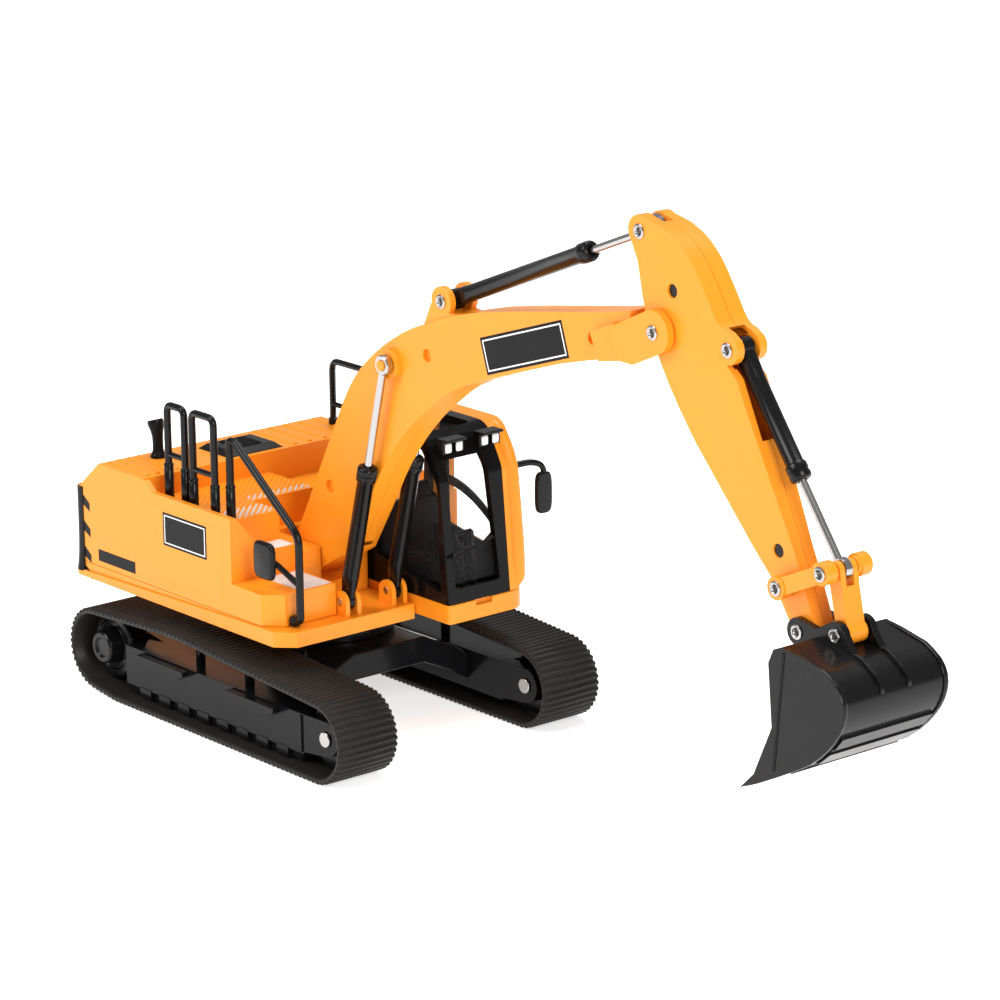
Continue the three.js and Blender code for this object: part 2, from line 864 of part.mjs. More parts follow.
// A hoop of round bar with a middle rail and thicker lower legs.
function hoop([x0, x1], y, foot, top, mid, socketTop) {
  return join(
    bentBar([[x0, y, foot], [x0, y, top], [x1, y, top], [x1, y, foot]], rail.radius),
    bar([x0, y, mid], [x1, y, mid], rail.radius * 0.8, 8),
    bar([x0, y, foot], [x0, y, socketTop], rail.socket, 8),
    bar([x1, y, foot], [x1, y, socketTop], rail.socket, 8),
  );
}

function walkHoop(limits) {
  const foot = house.walk + SEAM;
  return hoop(limits, rails.side, foot, rails.top, rails.mid, rails.socketTop);
}

function frontRail() {
  const { side, rear, front, top, knee, foot } = rails.front;
  const toe = front - 2.4;
  const bars = bentBar([
    [rear, side, house.walk + SEAM],
    [rear, side, top],
    [rear + 2.4, side, top],
    [front, side, knee],
    [front, side, foot + 1.2],
    [toe - 0.4, side, foot + 1.2],
  ], rail.radius * 1.1);
  const arm = bentBar([
    [front, side, knee - 12.5],
    [front - 5, side - 1.5, knee - 9.5],
    [front - 9.5, side - 4, knee - 6.5],
  ], rail.radius * 0.9);
  const head = plate(rounded([
    [front - 15.4, knee - 14, 1.4],
    [front - 6, knee - 12.5, 1.4],
    [front - 6, knee - 3, 1.4],
    [front - 15.4, knee - 3.8, 1.4],
  ], 2), [side - 5, side - 3]);
  return join(
    bars,
    bar([rear, side, house.walk + SEAM], [rear, side, rails.socketTop], rail.socket, 8),
    bar([toe, side, foot], [toe, side, foot + 2.6], rail.socket, 8),
    arm,
    head,
  );
}

function leftRail() {
  const { side, x, top, mid } = rails.left;
  const foot = house.hood + SEAM;
  const shortFoot = house.cabBay + SEAM;
  return join(
    hoop(x, side, foot, top, mid, foot + 2),
    bar([x[1], side, shortFoot], [x[1], side, foot + 2], rail.socket, 8),
  );
}

function footPin() {
  return cross(boom.foot, around(boom.half + SIDE_GAP + WALL), cylinder.pin + 0.3, FINE);
}

function liftBasePin(side) {
  const middle = boomLine + side * lift.offset;
  const reach = cylinder.eyeWidth / 2 + SIDE_GAP + lug.thickness;
  return cross(lift.base, around(reach, middle), cylinder.pin - 0.05);
}

// ---------------------------------------------------------------- cab

// The side outline of the cab: its front leans back towards the roof, which rounds over.
function cabSide(inset) {
  const bottom = cab.sill + SEAM;
  return rounded([
    [cab.rear + inset, bottom + inset],
    [cab.front - inset, bottom + inset],
    [cab.front - cab.lean * 0.55 - inset, cab.roof - 12, 8],
    [cab.front - cab.lean - 4 - inset, cab.roof - inset, 7],
    [cab.rear + 2 + inset, cab.roof - inset, 5],
  ], 5);
}

function cabPlan(inset, low, high) {
  const [y0, y1] = [cab.right + inset, cab.left - inset];
  return slab(rounded([
    [cab.rear + inset, y0, 1],
    [cab.front - inset + 0.4, y0, 1.6],
    [cab.front - inset + 0.4, y1, cab.corner],
    [cab.rear + inset, y1, 1],
  ]), [low, high]);
}

function cabVolume(inset) {
  return plate(cabSide(inset), [cab.right + inset, cab.left - inset])
    .intersect(cabPlan(inset, 0, 120));
}

function cabBase() {
  const bottom = cab.base;
  const lower = cabPlan(0, bottom, cab.sill);
  const notch = block(
    [cab.front - 1.2, cab.front + 2],
    [cab.right + 10, cab.right + 16],
    [cab.sill - 1.6, cab.sill + 1],
  );
  const well = cabPlan(2.4, bottom + cab.floor, cab.sill + 1);
  return cut(lower, notch, well);
}

// The black cage: posts and rails left after the windows are cut from a thin shell.
function cabFrame() {
  const skin = cut(cabVolume(0), cabVolume(cab.post), cabPlan(cab.post, 0, cab.sill + 5));
  const far = 200;
  const sill = cab.sill + SEAM;
  const frontWindow = section(rounded([
    [cab.right + 3, sill + 4.2, 1],
    [cab.left - 9.5, sill + 4.2, 1],
    [cab.left - 11.5, cab.roof - 7.5, 1.4],
    [cab.right + 3, cab.roof - 7.5, 1.4],
  ]), [cab.front - 14, far]);
  const sideWindow = plate(rounded([
    [cab.rear + 4, sill + 9, 2],
    [cab.front - 3.4, sill + 3, 1],
    [cab.front - 4.6, cab.roof - 14, 6],
    [cab.front - cab.lean - 6, cab.roof - 4, 4],
    [cab.rear + 5, cab.roof - 4, 3],
  ]), [cab.right - 5, cab.right + 6]);
  const roofWindow = slab(rounded([
    [cab.rear + 8, cab.right + 3.6, 2],
    [cab.front - cab.lean - 6.5, cab.right + 3.6, 2],
    [cab.front - cab.lean - 6.5, cab.left - 10, 2],
    [cab.rear + 8, cab.left - 10, 2],
  ]), [cab.roof - 12, far]);
  const rearWindow = section(rounded([
    [cab.right + 4, sill + 22, 2],
    [cab.left - 8, sill + 22, 2],
    [cab.left - 8, cab.roof - 8, 2],
    [cab.right + 4, cab.roof - 8, 2],
  ]), [cab.rear - 5, cab.rear + 6]);
  const shellSide = block([0, far], [cab.left - cab.edge - SEAM, far], [0, far]);
  return cut(skin, frontWindow, sideWindow, roofWindow, rearWindow, shellSide);
}

// The yellow side of the cab: round front pillar, door frame, window and roof edge.
function cabShell() {
  const edge = cab.left - cab.edge;
  const band = block([0, 100], [edge, 100], [0, 100]);
  const outer = cabVolume(0).intersect(band);
  const inner = cabVolume(cab.post);
  const sill = cab.sill + SEAM;
  const doorWindow = plate(rounded([
    [cab.rear + 5, sill + 12, 2],
    [cab.front - 14, sill + 9, 1],
    [cab.front - 8, sill + 16, 2],
    [cab.front - 10, cab.roof - 14, 5],
    [cab.front - 14, cab.roof - 6, 3],
    [cab.rear + 6, cab.roof - 6, 3],
  ]), [edge + 2, 100]);
  return cut(outer, inner, cabPlan(cab.post, 0, cab.sill + 5), doorWindow);
}

// One clear moulding stands just inside the cage and fills its windows.
function cabGlazing() {
  const outer = cab.post + SEAM;
  const tray = cut(cabVolume(outer), cabVolume(outer + cab.glass));
  const open = block([0, 100], [0, 100], [0, cab.sill + 5]);
  return cut(tray, open);
}

const seat = { x: 26, y: 20, width: 11, cushion: 47 };

function driverSeat() {
  const [x, y, half] = [seat.x, seat.y, seat.width / 2];
  const floor = cab.base + cab.floor + SEAM;
  return join(
    block([x - 4, x + 4], [y - 3.5, y + 3.5], [floor, seat.cushion - 2.6]),
    plate(rounded([
      [x - 6, seat.cushion - 3],
      [x + 7, seat.cushion - 3, 1.4],
      [x + 7, seat.cushion, 1.4],
      [x - 4.4, seat.cushion],
      [x - 6.6, seat.cushion + 17, 1.6],
      [x - 9, seat.cushion + 17, 1.6],
    ]), [y - half, y + half]),
    plate(rounded([
      [x - 10, seat.cushion + 16.5],
      [x - 7.2, seat.cushion + 16.5],
      [x - 7.6, seat.cushion + 21, 1],
      [x - 10, seat.cushion + 21, 1],
    ]), [y - half * 0.6, y + half * 0.6]),
    block([x - 3, x + 6], [y - half - 3.4, y - half + 0.1], [seat.cushion - 2.6, seat.cushion + 2.6]),
    block([x - 3, x + 6], [y + half - 0.1, y + half + 3.4], [seat.cushion - 2.6, seat.cushion + 2.6]),
    bar([x + 4, y - half - 1.7, seat.cushion], [x + 5, y - half - 1.7, seat.cushion + 7.5], 0.7, 8),
    bar([x + 4, y + half + 1.7, seat.cushion], [x + 5, y + half + 1.7, seat.cushion + 7.5], 0.7, 8),
  );
}

function controlConsole() {
  const floor = cab.base + cab.floor + SEAM;
  const x = cab.front - 8;
  const y = seat.y;
  return join(
    block([x - 2, x + 3], [y - 6, y + 6], [floor, floor + 2]),
    bentBar([[x, y - 2.2, floor + 1], [x - 1.4, y - 2.2, 52], [x - 3, y - 3, 57]], 0.8, 8),
    bentBar([[x, y + 2.2, floor + 1], [x - 1.4, y + 2.2, 52], [x - 3, y + 3, 57]], 0.8, 8),
    bar([x - 3, cab.right + 5, 57], [x - 3, y + 3, 57], 0.7, 8),
    block([x - 3, x + 1], [cab.right + 3.6, cab.right + 7], [46, 62]),
    block([x - 2, x + 1], [cab.right + 3.7, cab.right + 6.9], [floor, 47]),
    block([x - 2, x + 1], [cab.right + 3.7, y - 5.9], [floor, floor + 2]),
  );
}

const lamp = { width: 7.6, depth: 3, height: 4.4, cap: 0.8, drop: 3.6 };

function lampBar(y) {
  const back = cab.front - cab.lean + 0.6;
  const top = cab.roof - 1.2;
  const half = lamp.width / 2;
  return join(
    block([back, back + lamp.depth + 1.6], [y - half, y + half], [top, top + lamp.cap]),
    block([back, back + lamp.depth], [y - half, y - 0.8], [top - lamp.drop, top + 0.1]),
    block([back, back + lamp.depth], [y + 0.8, y + half], [top - lamp.drop, top + 0.1]),
    block([back, back + 1], [y - 1, y + 1], [top - lamp.drop, top + 0.1]),
  );
}

function wiper() {
  const x = cab.front - 0.1;
  return join(
    bar([x, cab.right + 8, 55.4], [x - 0.2, cab.right + 17, 57.6], 0.4, 8),
    bar([x, cab.right + 1.6, 53.9], [x, cab.right + 8.1, 55.5], 0.5, 8),
  );
}

function leftMirror() {
  const x = cab.front - 4;
  const arm = bentBar([
    [x, cab.left + 0.25, 76],
    [x + 1.5, cab.left + 4.5, 76.4],
    [x + 2.5, cab.left + 8, 75],
    [x + 2.6, cab.left + 9.2, 72],
  ], 0.95);
  const head = section(rounded([
    [cab.left + 5.6, 60.5, 1.6],
    [cab.left + 11.2, 60.5, 1.6],
    [cab.left + 11.2, 73, 1.6],
    [cab.left + 5.6, 73, 1.6],
  ]), [x + 1.6, x + 3.6]);
  return arm.add(head);
}

// ---------------------------------------------------------------- boom

// The side outline of the boom, from its foot over its back and round its tip.
function boomOutline(inset = 0) {
  const { near, far, share } = boomAt;
  const back = smooth([
    near(4.6 + inset, 9.9 - inset),
    share(0.161, 24.5 - inset),
    share(0.26, 34.6 - inset),
    share(0.331, 38.1 - inset),
    share(0.409, 39 - inset),
    share(0.494, 37.4 - inset),
    share(0.631, 31.2 - inset),
    far(-20, 13.2 - inset),
  ]);
  const belly = smooth([
    far(-10.6, -3.2 + inset),
    share(0.766, 6.9 + inset),
    share(0.537, 16 + inset),
    share(0.447, 16.6 + inset),
    share(0.355, 14.1 + inset),
    share(0.265, 8.7 + inset),
    share(0.181, 0.9 + inset),
    near(17.6 + inset, -6.6 + inset * 0.4),
  ]);
  const foot = arc(boom.foot, boom.footRadius - inset, boom.angle - 70, boom.angle - 240, 8);
  const tip = arc(armPivot, boom.tipRadius - inset, boom.angle + 90, boom.angle - 90, 8);
  return [...back, ...tip, ...belly, ...foot].reverse();
}

function boomForkOutline() {
  const { far } = boomAt;
  const lean = boom.angle;
  return [
    far(-boom.forkReach, 7.6),
    far(-boom.forkReach - 1, -1.2),
    far(-boom.forkReach + 4, -4.4),
    ...arc(armPivot, boom.tipRadius, lean - 80, lean + 80, 10),
  ];
}

function boomHalf(side) {
  const half = beside(side);
  const inner = SEAM / 2;
  const armRoom = arm.half + SIDE_GAP;
  const body = plate(boomOutline(), half(inner, boom.half));
  const cavity = plate(boomOutline(WALL), half(-1, boom.half - WALL));
  const solidEnds = join(
    cross(boom.foot, half(inner, boom.half), boom.footRadius - 0.2, FINE),
    cross(liftEye, half(inner, boom.half), 4.6, COARSE),
    ...boomScrewPlaces.map((place) => cross(place, half(inner, boom.half), 3)),
    cross(armCylinderBase, half(inner, boom.lugHalf), 3.6),
  );
  const lug = join(
    cross(armCylinderBase, half(inner, boom.lugHalf), boom.lugRadius, FINE),
    plate([
      along(armCylinderBase, [0.8, -0.6], 4.4),
      along(armCylinderBase, [-0.98, -0.2], 4.3),
      boomAt.share(0.457, 34),
      boomAt.share(0.61, 29),
    ].reverse(), half(inner, boom.lugHalf)),
  );
  const fork = plate(boomForkOutline(), half(boom.forkHalf - boom.forkPlate, boom.forkHalf));
  const blend = plate([
    boomAt.far(-boom.forkReach - 8, 9.4),
    boomAt.far(-boom.forkReach - 9, 1.4),
    boomAt.far(-boom.forkReach + 2, -2.6),
    boomAt.far(-boom.forkReach + 2, 8.2),
  ], half(boom.half - 0.4, boom.forkHalf - 0.6));
  const boss = cross(liftEye, half(boom.half - 0.1, lift.offset - cylinder.eyeWidth / 2 - 0.3),
    lift.bossRadius, FINE);
  const spigot = cross(liftEye, half(boom.half, lift.offset + cylinder.eyeWidth / 2 + 0.5),
    cylinder.pin + 0.35, COARSE);
  const armSweep = cross(armPivot, half(-1, armRoom), 11.6, FINE);
  const barrelSlot = plate([
    along(armCylinderBase, [-0.9, 0.4], 7),
    along(armCylinderBase, [-0.9, -0.3], 4.6),
    along(armCylinderBase, [0, -1], 3.9),
    along(armCylinderBase, [0.95, 0.06], 17),
    along(armCylinderBase, [0.7, 0.7], 17),
  ], half(-1, boom.lugHalf - boom.lugPlate));
  const screwWells = side < 0
    ? boomScrewPlaces.map((place) => cross(place, half(boom.half - 1.2, boom.half + 1), 1.9))
    : [];
  const bores = [
    cross(boom.foot, half(-1, 20), cylinder.pin + 0.3 + RUNNING),
    cross(armPivot, half(-1, 20), cylinder.pin + RUNNING),
    cross(armCylinderBase, half(-1, 20), cylinder.pin + RUNNING),
  ];
  const shell = join(cut(body, cavity), lug, blend, solidEnds.intersect(join(body, lug)));
  return join(cut(shell, armSweep, barrelSlot, ...screwWells), cut(fork, armSweep), boss, spigot)
    .subtract(bores[0]).subtract(bores[1]).subtract(bores[2]);
}

const boomScrewPlaces = [
  boomAt.near(21.5, 12.9),
  boomAt.share(0.472, 29.4),
  boomAt.far(-25.9, 8.1),
];

// ---------------------------------------------------------------- arm

function armOutline(inset = 0) {
  const { near, far } = armAt;
  const front = smooth([
    near(-21.5 + inset, 17.2 - inset),
    near(-15.5, 20.4 - inset),
    near(-8, 21.9 - inset),
    near(1, 21.6 - inset),
    near(9, 21.1 - inset),
    near(12.6, 23 - inset),
  ]);
  const lug = arc(bucketCylinderBase, arm.bucketLugRadius - inset, arm.angle + 95,
    arm.angle - 40, 6);
  const lower = [
    near(24, 18.6 - inset),
    far(-13.2, 8.1 - inset),
    far(-6, 6.2 - inset),
  ];
  const end = arc(bucketPivot, arm.endRadius - inset, arm.angle + 60, arm.angle - 130, 8);
  const back = smooth([
    far(-16.5, -2.8 + inset),
    far(-27.7, -3.9 + inset),
    near(26.1, -5.6 + inset),
    near(8, -5 + inset),
    near(-6, -2.2 + inset),
    near(-19, 3.6 + inset),
  ]);
  const top = arc(armCylinderEye, arm.eyeRadius - inset, arm.angle + 240, arm.angle + 110, 8);
  return [...front, ...lug, ...asPoints(lower), ...end, ...back, ...top].reverse();
}

// The arm keeps its full width to below its upper lug and then tapers to the bucket pin.
function armTaper(extra, side) {
  const reach = 60;
  const wide = arm.half + extra;
  const slim = arm.endHalf + extra;
  const edge = [
    [-reach, wide],
    [arm.taper, wide],
    [arm.length - 18, slim],
    [arm.length + reach, slim],
  ];
  const outline = [[-reach, 0], [arm.length + reach, 0], ...edge.reverse()];
  const points = outline.map(([a, y]) => new THREE.Vector2(a, side * y));
  const options = { depth: 2 * reach, bevelEnabled: false, steps: 1 };
  const geometry = new THREE.ExtrudeGeometry(new THREE.Shape(points), options);
  geometry.translate(0, boomLine, -reach);
  geometry.rotateY(-THREE.MathUtils.degToRad(arm.angle));
  geometry.translate(armPivot[0], 0, armPivot[1]);
  return solid(geometry);
}

const armScrewPlaces = { upper: armAt.near(-6.2, 10.8), lower: armAt.far(-20.7, 4.1) };

function armHalf(side) {
  const half = beside(side);
  const inner = SEAM / 2;
  const body = plate(armOutline(), half(inner, arm.half)).intersect(armTaper(0, side));
  const cavity = plate(armOutline(WALL), half(-1, arm.half - WALL))
    .intersect(armTaper(-WALL, side));
  const places = [armPivot, armCylinderEye, bucketPivot, rockerPivot,
    armScrewPlaces.upper, armScrewPlaces.lower, bucketCylinderBase];
  const bosses = places.map((place) => cross(place, half(inner, arm.half), 3.2));
  const filled = join(bosses[0], ...bosses.slice(1)).intersect(body);
  const slotHalf = arm.slot / 2;
  const rodSlot = plate([
    armAt.near(-45, -30),
    armAt.near(-18, -8),
    armAt.near(-17.5, 6),
    armAt.near(-22, 15),
    armAt.near(-45, 20),
  ], half(-1, slotHalf));
  const barrelHalf = cylinder.barrel + SIDE_GAP;
  const barrelSlot = plate([
    armAt.near(10.5, 15.6),
    armAt.near(22, 15.6),
    armAt.near(40, 10.5),
    armAt.near(40, 40),
    armAt.near(10.5, 40),
  ], half(-1, barrelHalf));
  const screws = side < 0
    ? Object.values(armScrewPlaces).map((place) => cross(place, half(1, 20), 1.9))
    : [];
  const holes = [
    cross(armPivot, half(-1, 20), cylinder.pin + RUNNING),
    cross(armCylinderEye, half(-1, 20), cylinder.pin + RUNNING),
    cross(bucketCylinderBase, half(-1, 20), cylinder.pin + RUNNING),
    cross(rockerPivot, half(-1, 20), cylinder.pin + RUNNING),
    cross(bucketPivot, half(-1, 20), cylinder.pin + RUNNING),
  ];
  return cut(join(cut(body, cavity), filled), rodSlot, barrelSlot, ...screws, ...holes);
}

// A screw lies in a well of the arm's right half, with its head below the face.
function armScrew(place, faceHalf) {
  return join(
    cross(place, [boomLine - faceHalf + 1, boomLine - 1.2], 1.6, COARSE),
    cross(place, [boomLine - faceHalf + 0.6, boomLine - faceHalf + 1.4], 1.75, COARSE),
  );
}

// ---------------------------------------------------------------- pins

// A pin across the machine with a flat head at each end.
function headedPin(place, half, radius = cylinder.pin) {
  const inner = half + HEAD_GAP;
  const outer = inner + pinHead.depth;
  return join(
    cross(place, around(outer), radius, COARSE),
    cross(place, [boomLine - outer, boomLine - inner], pinHead.radius, FINE),
    cross(place, [boomLine + inner, boomLine + outer], pinHead.radius, FINE),
  );
}

// ---------------------------------------------------------------- cylinders

function barrelOf(base, eye, y, length, options = {}) {
  const { unit } = direction(base, eye);
  const at = (distance) => {
    const [x, z] = along(base, unit, distance);
    return [x, y, z];
  };
  const neck = options.neck ?? 8;
  const half = options.eyeHalf ?? cylinder.eyeWidth / 2;
  const tongue = plate([
    along(base, unit, 0, -cylinder.eyeOuter),
    along(base, unit, neck + 2, -cylinder.barrel),
    along(base, unit, neck + 2, cylinder.barrel),
    along(base, unit, 0, cylinder.eyeOuter),
  ], [y - half, y + half]);
  const tube = join(
    bar(at(neck), at(length), cylinder.barrel, 20),
    bar(at(length - cylinder.collarLength), at(length), cylinder.collar, 20),
    tongue,
    cross(base, [y - half, y + half], cylinder.eyeOuter, COARSE),
  );
  return cut(
    tube,
    bar(at(neck + cylinder.boredDepth), at(length + 1), cylinder.bore, 20),
    cross(base, [y - 9, y + 9], cylinder.pin + RUNNING),
  );
}

function rodOf(base, eye, y, inside, options = {}) {
  const { unit, length } = direction(base, eye);
  const at = (distance) => {
    const [x, z] = along(base, unit, distance);
    return [x, y, z];
  };
  const half = options.eyeHalf ?? cylinder.eyeWidth / 2;
  const outer = options.eyeOuter ?? cylinder.eyeOuter;
  const bore = options.eyeBore ?? cylinder.pin + RUNNING;
  const rod = bar(at(inside), at(length - bore - 0.2), cylinder.rod, COARSE);
  const ring = cross(eye, [y - half, y + half], outer, FINE);
  return cut(join(rod, ring), cross(eye, [y - 9, y + 9], bore, COARSE));
}

// ---------------------------------------------------------------- bucket linkage

function rockerLink(side) {
  const half = beside(side);
  const outer = rocker.half;
  const inner = outer - rocker.plate;
  const { unit, length } = direction(rockerPivot, rockerEye);
  const arms = plate([
    along(rockerPivot, unit, 0, -2.3),
    along(rockerPivot, unit, length, -2.3),
    along(rockerPivot, unit, length, 2.3),
    along(rockerPivot, unit, 0, 2.3),
  ], half(inner, outer - 0.4));
  const eyes = [rockerPivot, rockerEye].map((place) => cross(place, half(inner, outer),
    rocker.radius, FINE));
  const shape = join(arms, ...eyes);
  if (side < 0) {
    return cut(
      shape,
      cross(rockerPivot, half(0, 20), cylinder.pin + RUNNING),
      cross(rockerEye, half(0, inner + 1.2), 1.5 + RUNNING),
      cross(rockerEye, half(0, 20), cylinder.pin + RUNNING),
    );
  }
  const crossBar = join(
    cross(rockerEye, [boomLine - inner - 1, boomLine + inner + 0.5], 1.5),
    cross(rockerEye, [boomLine + link.half + SIDE_GAP, boomLine + inner + 0.5],
      rocker.crossRadius, FINE),
  );
  return cut(join(shape, crossBar), cross(rockerPivot, half(0, 20), cylinder.pin + RUNNING));
}

function rockerPin() {
  return headedPin(rockerPivot, rocker.half);
}

function bucketLink() {
  const { unit, length } = direction(rockerEye, bucketEye);
  const lower = [boomLine - link.half, boomLine + link.half];
  const body = plate([
    along(rockerEye, unit, 4.4, -link.thickness / 2),
    along(rockerEye, unit, length, -link.thickness / 2),
    along(rockerEye, unit, length, link.thickness / 2),
    along(rockerEye, unit, 4.4, link.thickness / 2),
  ], lower);
  const forkPlates = [-1, 1].map((side) => {
    const limits = beside(side)(cylinder.eyeWidth / 2 + SIDE_GAP, link.half);
    return plate([
      along(rockerEye, unit, 0, -2.4),
      along(rockerEye, unit, 5, -2.1),
      along(rockerEye, unit, 5, 2.1),
      along(rockerEye, unit, 0, 2.4),
    ], limits).add(cross(rockerEye, limits, 2.4));
  });
  const foot = cross(bucketEye, lower, link.radius, FINE);
  return cut(
    join(body, ...forkPlates, foot),
    cross(rockerEye, around(9), 1.5 + RUNNING),
    cross(bucketEye, around(9), cylinder.pin + 0.55),
  );
}

// ---------------------------------------------------------------- bucket

// The side of the bucket: lip, mouth edge, top and the rounded back.
function bucketOutline(inset) {
  const at = (x, z) => [bucketPivot[0] + x, bucketPivot[1] + z];
  const i = inset;
  const floor = [
    at(-7.6 + i * 2.6, -40.9 + i * 1.2),
    at(5.6 + i * 0.5, -34.4 + i),
  ];
  const back = smooth([
    at(11.8, -31.2 + i * 0.9),
    at(17.9 - i * 0.4, -27.8 + i * 0.9),
    at(23.4 - i * 0.7, -23.2 + i * 0.7),
    at(27.7 - i * 0.9, -17.9 + i * 0.5),
    at(29.7 - i, -13.2),
    at(29.7 - i * 0.9, -9.2 - i * 0.3),
    at(27.4 - i * 0.8, -5.6 - i * 0.7),
    at(22.4 - i * 0.4, -2.6 - i),
  ], 2);
  const front = [
    at(7.8, 0.4 - i),
    at(4.7 + i, -0.9 - i),
    at(2.9 + i, -4.8 - i),
    at(4.3 + i, -21.7),
    at(-2.3 + i, -35.8 + i),
  ];
  return [...asPoints(floor), ...back, ...asPoints(front)];
}

function bucketShell() {
  const half = bucket.width / 2;
  const outside = plate(asPoints(bucketOutline(0)), around(half));
  const inside = plate(asPoints(bucketOutline(bucket.shell)), around(half - bucket.side));
  const at = (x, z) => [bucketPivot[0] + x, bucketPivot[1] + z];
  const mouth = plate([
    at(-30, -60),
    at(-7.4, -40.4),
    at(-1.2, -34.2),
    at(6.2, -21.6),
    at(4.6, -5),
    at(5, -2.8),
    at(-30, -2.8),
  ].reverse(), around(half - bucket.side));
  const cup = cut(outside, inside, mouth);
  const ears = [-1, 1].map((side) => {
    const limits = beside(side)(bucket.earHalf - bucket.earPlate, bucket.earHalf);
    const saddle = [
      ...arc(bucketPivot, bucket.earRadius, 250, 70, 8),
      at(7, 2.4),
      ...arc(bucketEye, bucket.earRadius, 110, 10, 6),
      at(22, -3.4),
      at(28.4, -8.2),
      at(26, -9),
      at(7, -1.2),
      at(4, -2.2),
    ];
    return plate(asPoints(saddle).reverse(), limits);
  });
  const wear = [[17.7, -28.3, 23, -23.9], [23.6, -23.2, 27.4, -18.8], [8, -33.2, 15.5, -29.5]]
    .map(([xa, za, xb, zb]) => {
      const { unit, length } = direction([xa, za], [xb, zb]);
      return plate([
        at(...along([xa, za], unit, 0.2, 0.5)),
        at(...along([xa, za], unit, 0.6, -0.7)),
        at(...along([xa, za], unit, length - 0.6, -0.7)),
        at(...along([xa, za], unit, length - 0.2, 0.5)),
      ], around(half - 2.6));
    });
  const body = join(cup, ...ears, ...wear);
  return cut(
    body,
    cross(bucketPivot, around(12), cylinder.pin + RUNNING),
    cross(bucketEye, around(12), cylinder.pin + RUNNING),
    cross(bucketEye, around(bucket.earHalf - bucket.earPlate), link.radius + SIDE_GAP, FINE),
  );
}

// ---------------------------------------------------------------- assembly

const paints = {
  yellow: { color: 0xf7a51c, roughness: 0.35, metalness: 0 },
  black: { color: 0x1b1b1c, roughness: 0.4, metalness: 0 },
  glossBlack: { color: 0x0d0d0e, roughness: 0.15, metalness: 0.1 },
  rubber: { color: 0x2a2a2a, roughness: 0.8, metalness: 0 },
  chrome: { color: 0xd8d8da, roughness: 0.12, metalness: 1 },
  clear: { color: 0xdfe8ea, roughness: 0.05, metalness: 0 },
};

// The manifold of a solid as a named three.js mesh.
function piece(name, paint, shape, position = [0, 0, 0]) {
  const mesh = shape.getMesh();
  const geometry = new THREE.BufferGeometry();
  geometry.setAttribute("position", new THREE.BufferAttribute(mesh.vertProperties, mesh.numProp));
  geometry.setIndex(new THREE.BufferAttribute(mesh.triVerts, 1));
  geometry.computeVertexNormals();
  const result = new THREE.Mesh(geometry, new THREE.MeshStandardMaterial(paints[paint]));
  result.name = name;
  result.position.set(...position);
  return result;
}

function group(...members) {
  const result = new THREE.Group();
  result.add(...members);
  return result;
}

function undercarriage() {
  const sides = [["right", -1], ["left", 1]].map(([name, out]) => {
    const assembly = group(
      piece(`track_belt_${name}`, "rubber", trackBelt()),
      piece(`side_frame_${name}`, "glossBlack", sideFrame(out)),
      piece(`front_wheel_${name}`, "black", frontWheel(), [frontAxle[0], 0, frontAxle[1]]),
      piece(`rear_wheel_${name}`, "black", rearWheel(out), [rearAxle[0], 0, rearAxle[1]]),
      piece(`front_axle_${name}`, "chrome", axlePin(out), [frontAxle[0], 0, frontAxle[1]]),
    );
    assembly.position.y = (out * track.gauge) / 2;
    return assembly;
  });
  return group(
    ...sides,
    piece("carbody", "glossBlack", carbodyFrame()),
    piece("turntable_drum", "black", turntable()),
    piece("slew_pin", "chrome", slewPin()),
  );
}

function houseAssembly() {
  const hoops = Object.entries(rails.loops).map(([name, limits]) =>
    piece(name, "black", walkHoop(limits)));
  return group(
    piece("deck_plate", "yellow", deckPlate()),
    piece("body_shell", "yellow", bodyShell()),
    piece("hood_vent", "black", hoodVent()),
    piece("exhaust_stack", "black", exhaustStack()),
    ...hoops,
    piece("handrail_front", "black", frontRail()),
    piece("handrail_left", "black", leftRail()),
    piece("boom_foot_pin", "chrome", footPin()),
    piece("lift_base_pin_right", "chrome", liftBasePin(-1)),
    piece("lift_base_pin_left", "chrome", liftBasePin(1)),
  );
}

function cabAssembly() {
  return group(
    piece("cab_base", "yellow", cabBase()),
    piece("cab_frame", "black", cabFrame()),
    piece("cab_shell", "yellow", cabShell()),
    piece("cab_glazing", "clear", cabGlazing()),
    piece("driver_seat", "black", driverSeat()),
    piece("control_console", "black", controlConsole()),
    piece("lamp_bar_right", "black", lampBar(cab.right + 4.6)),
    piece("lamp_bar_left", "black", lampBar(cab.left - 11)),
    piece("wiper", "black", wiper()),
    piece("mirror_left", "black", leftMirror()),
  );
}

function liftCylinder(name, side) {
  const y = boomLine + side * lift.offset;
  return group(
    piece(`lift_barrel_${name}`, "black", barrelOf(lift.base, liftEye, y, barrelLength.lift)),
    piece(`lift_rod_${name}`, "chrome", rodOf(lift.base, liftEye, y, lift.rodInside, {
      eyeBore: cylinder.pin + 0.35 + RUNNING,
      eyeOuter: cylinder.eyeOuter,
    })),
  );
}

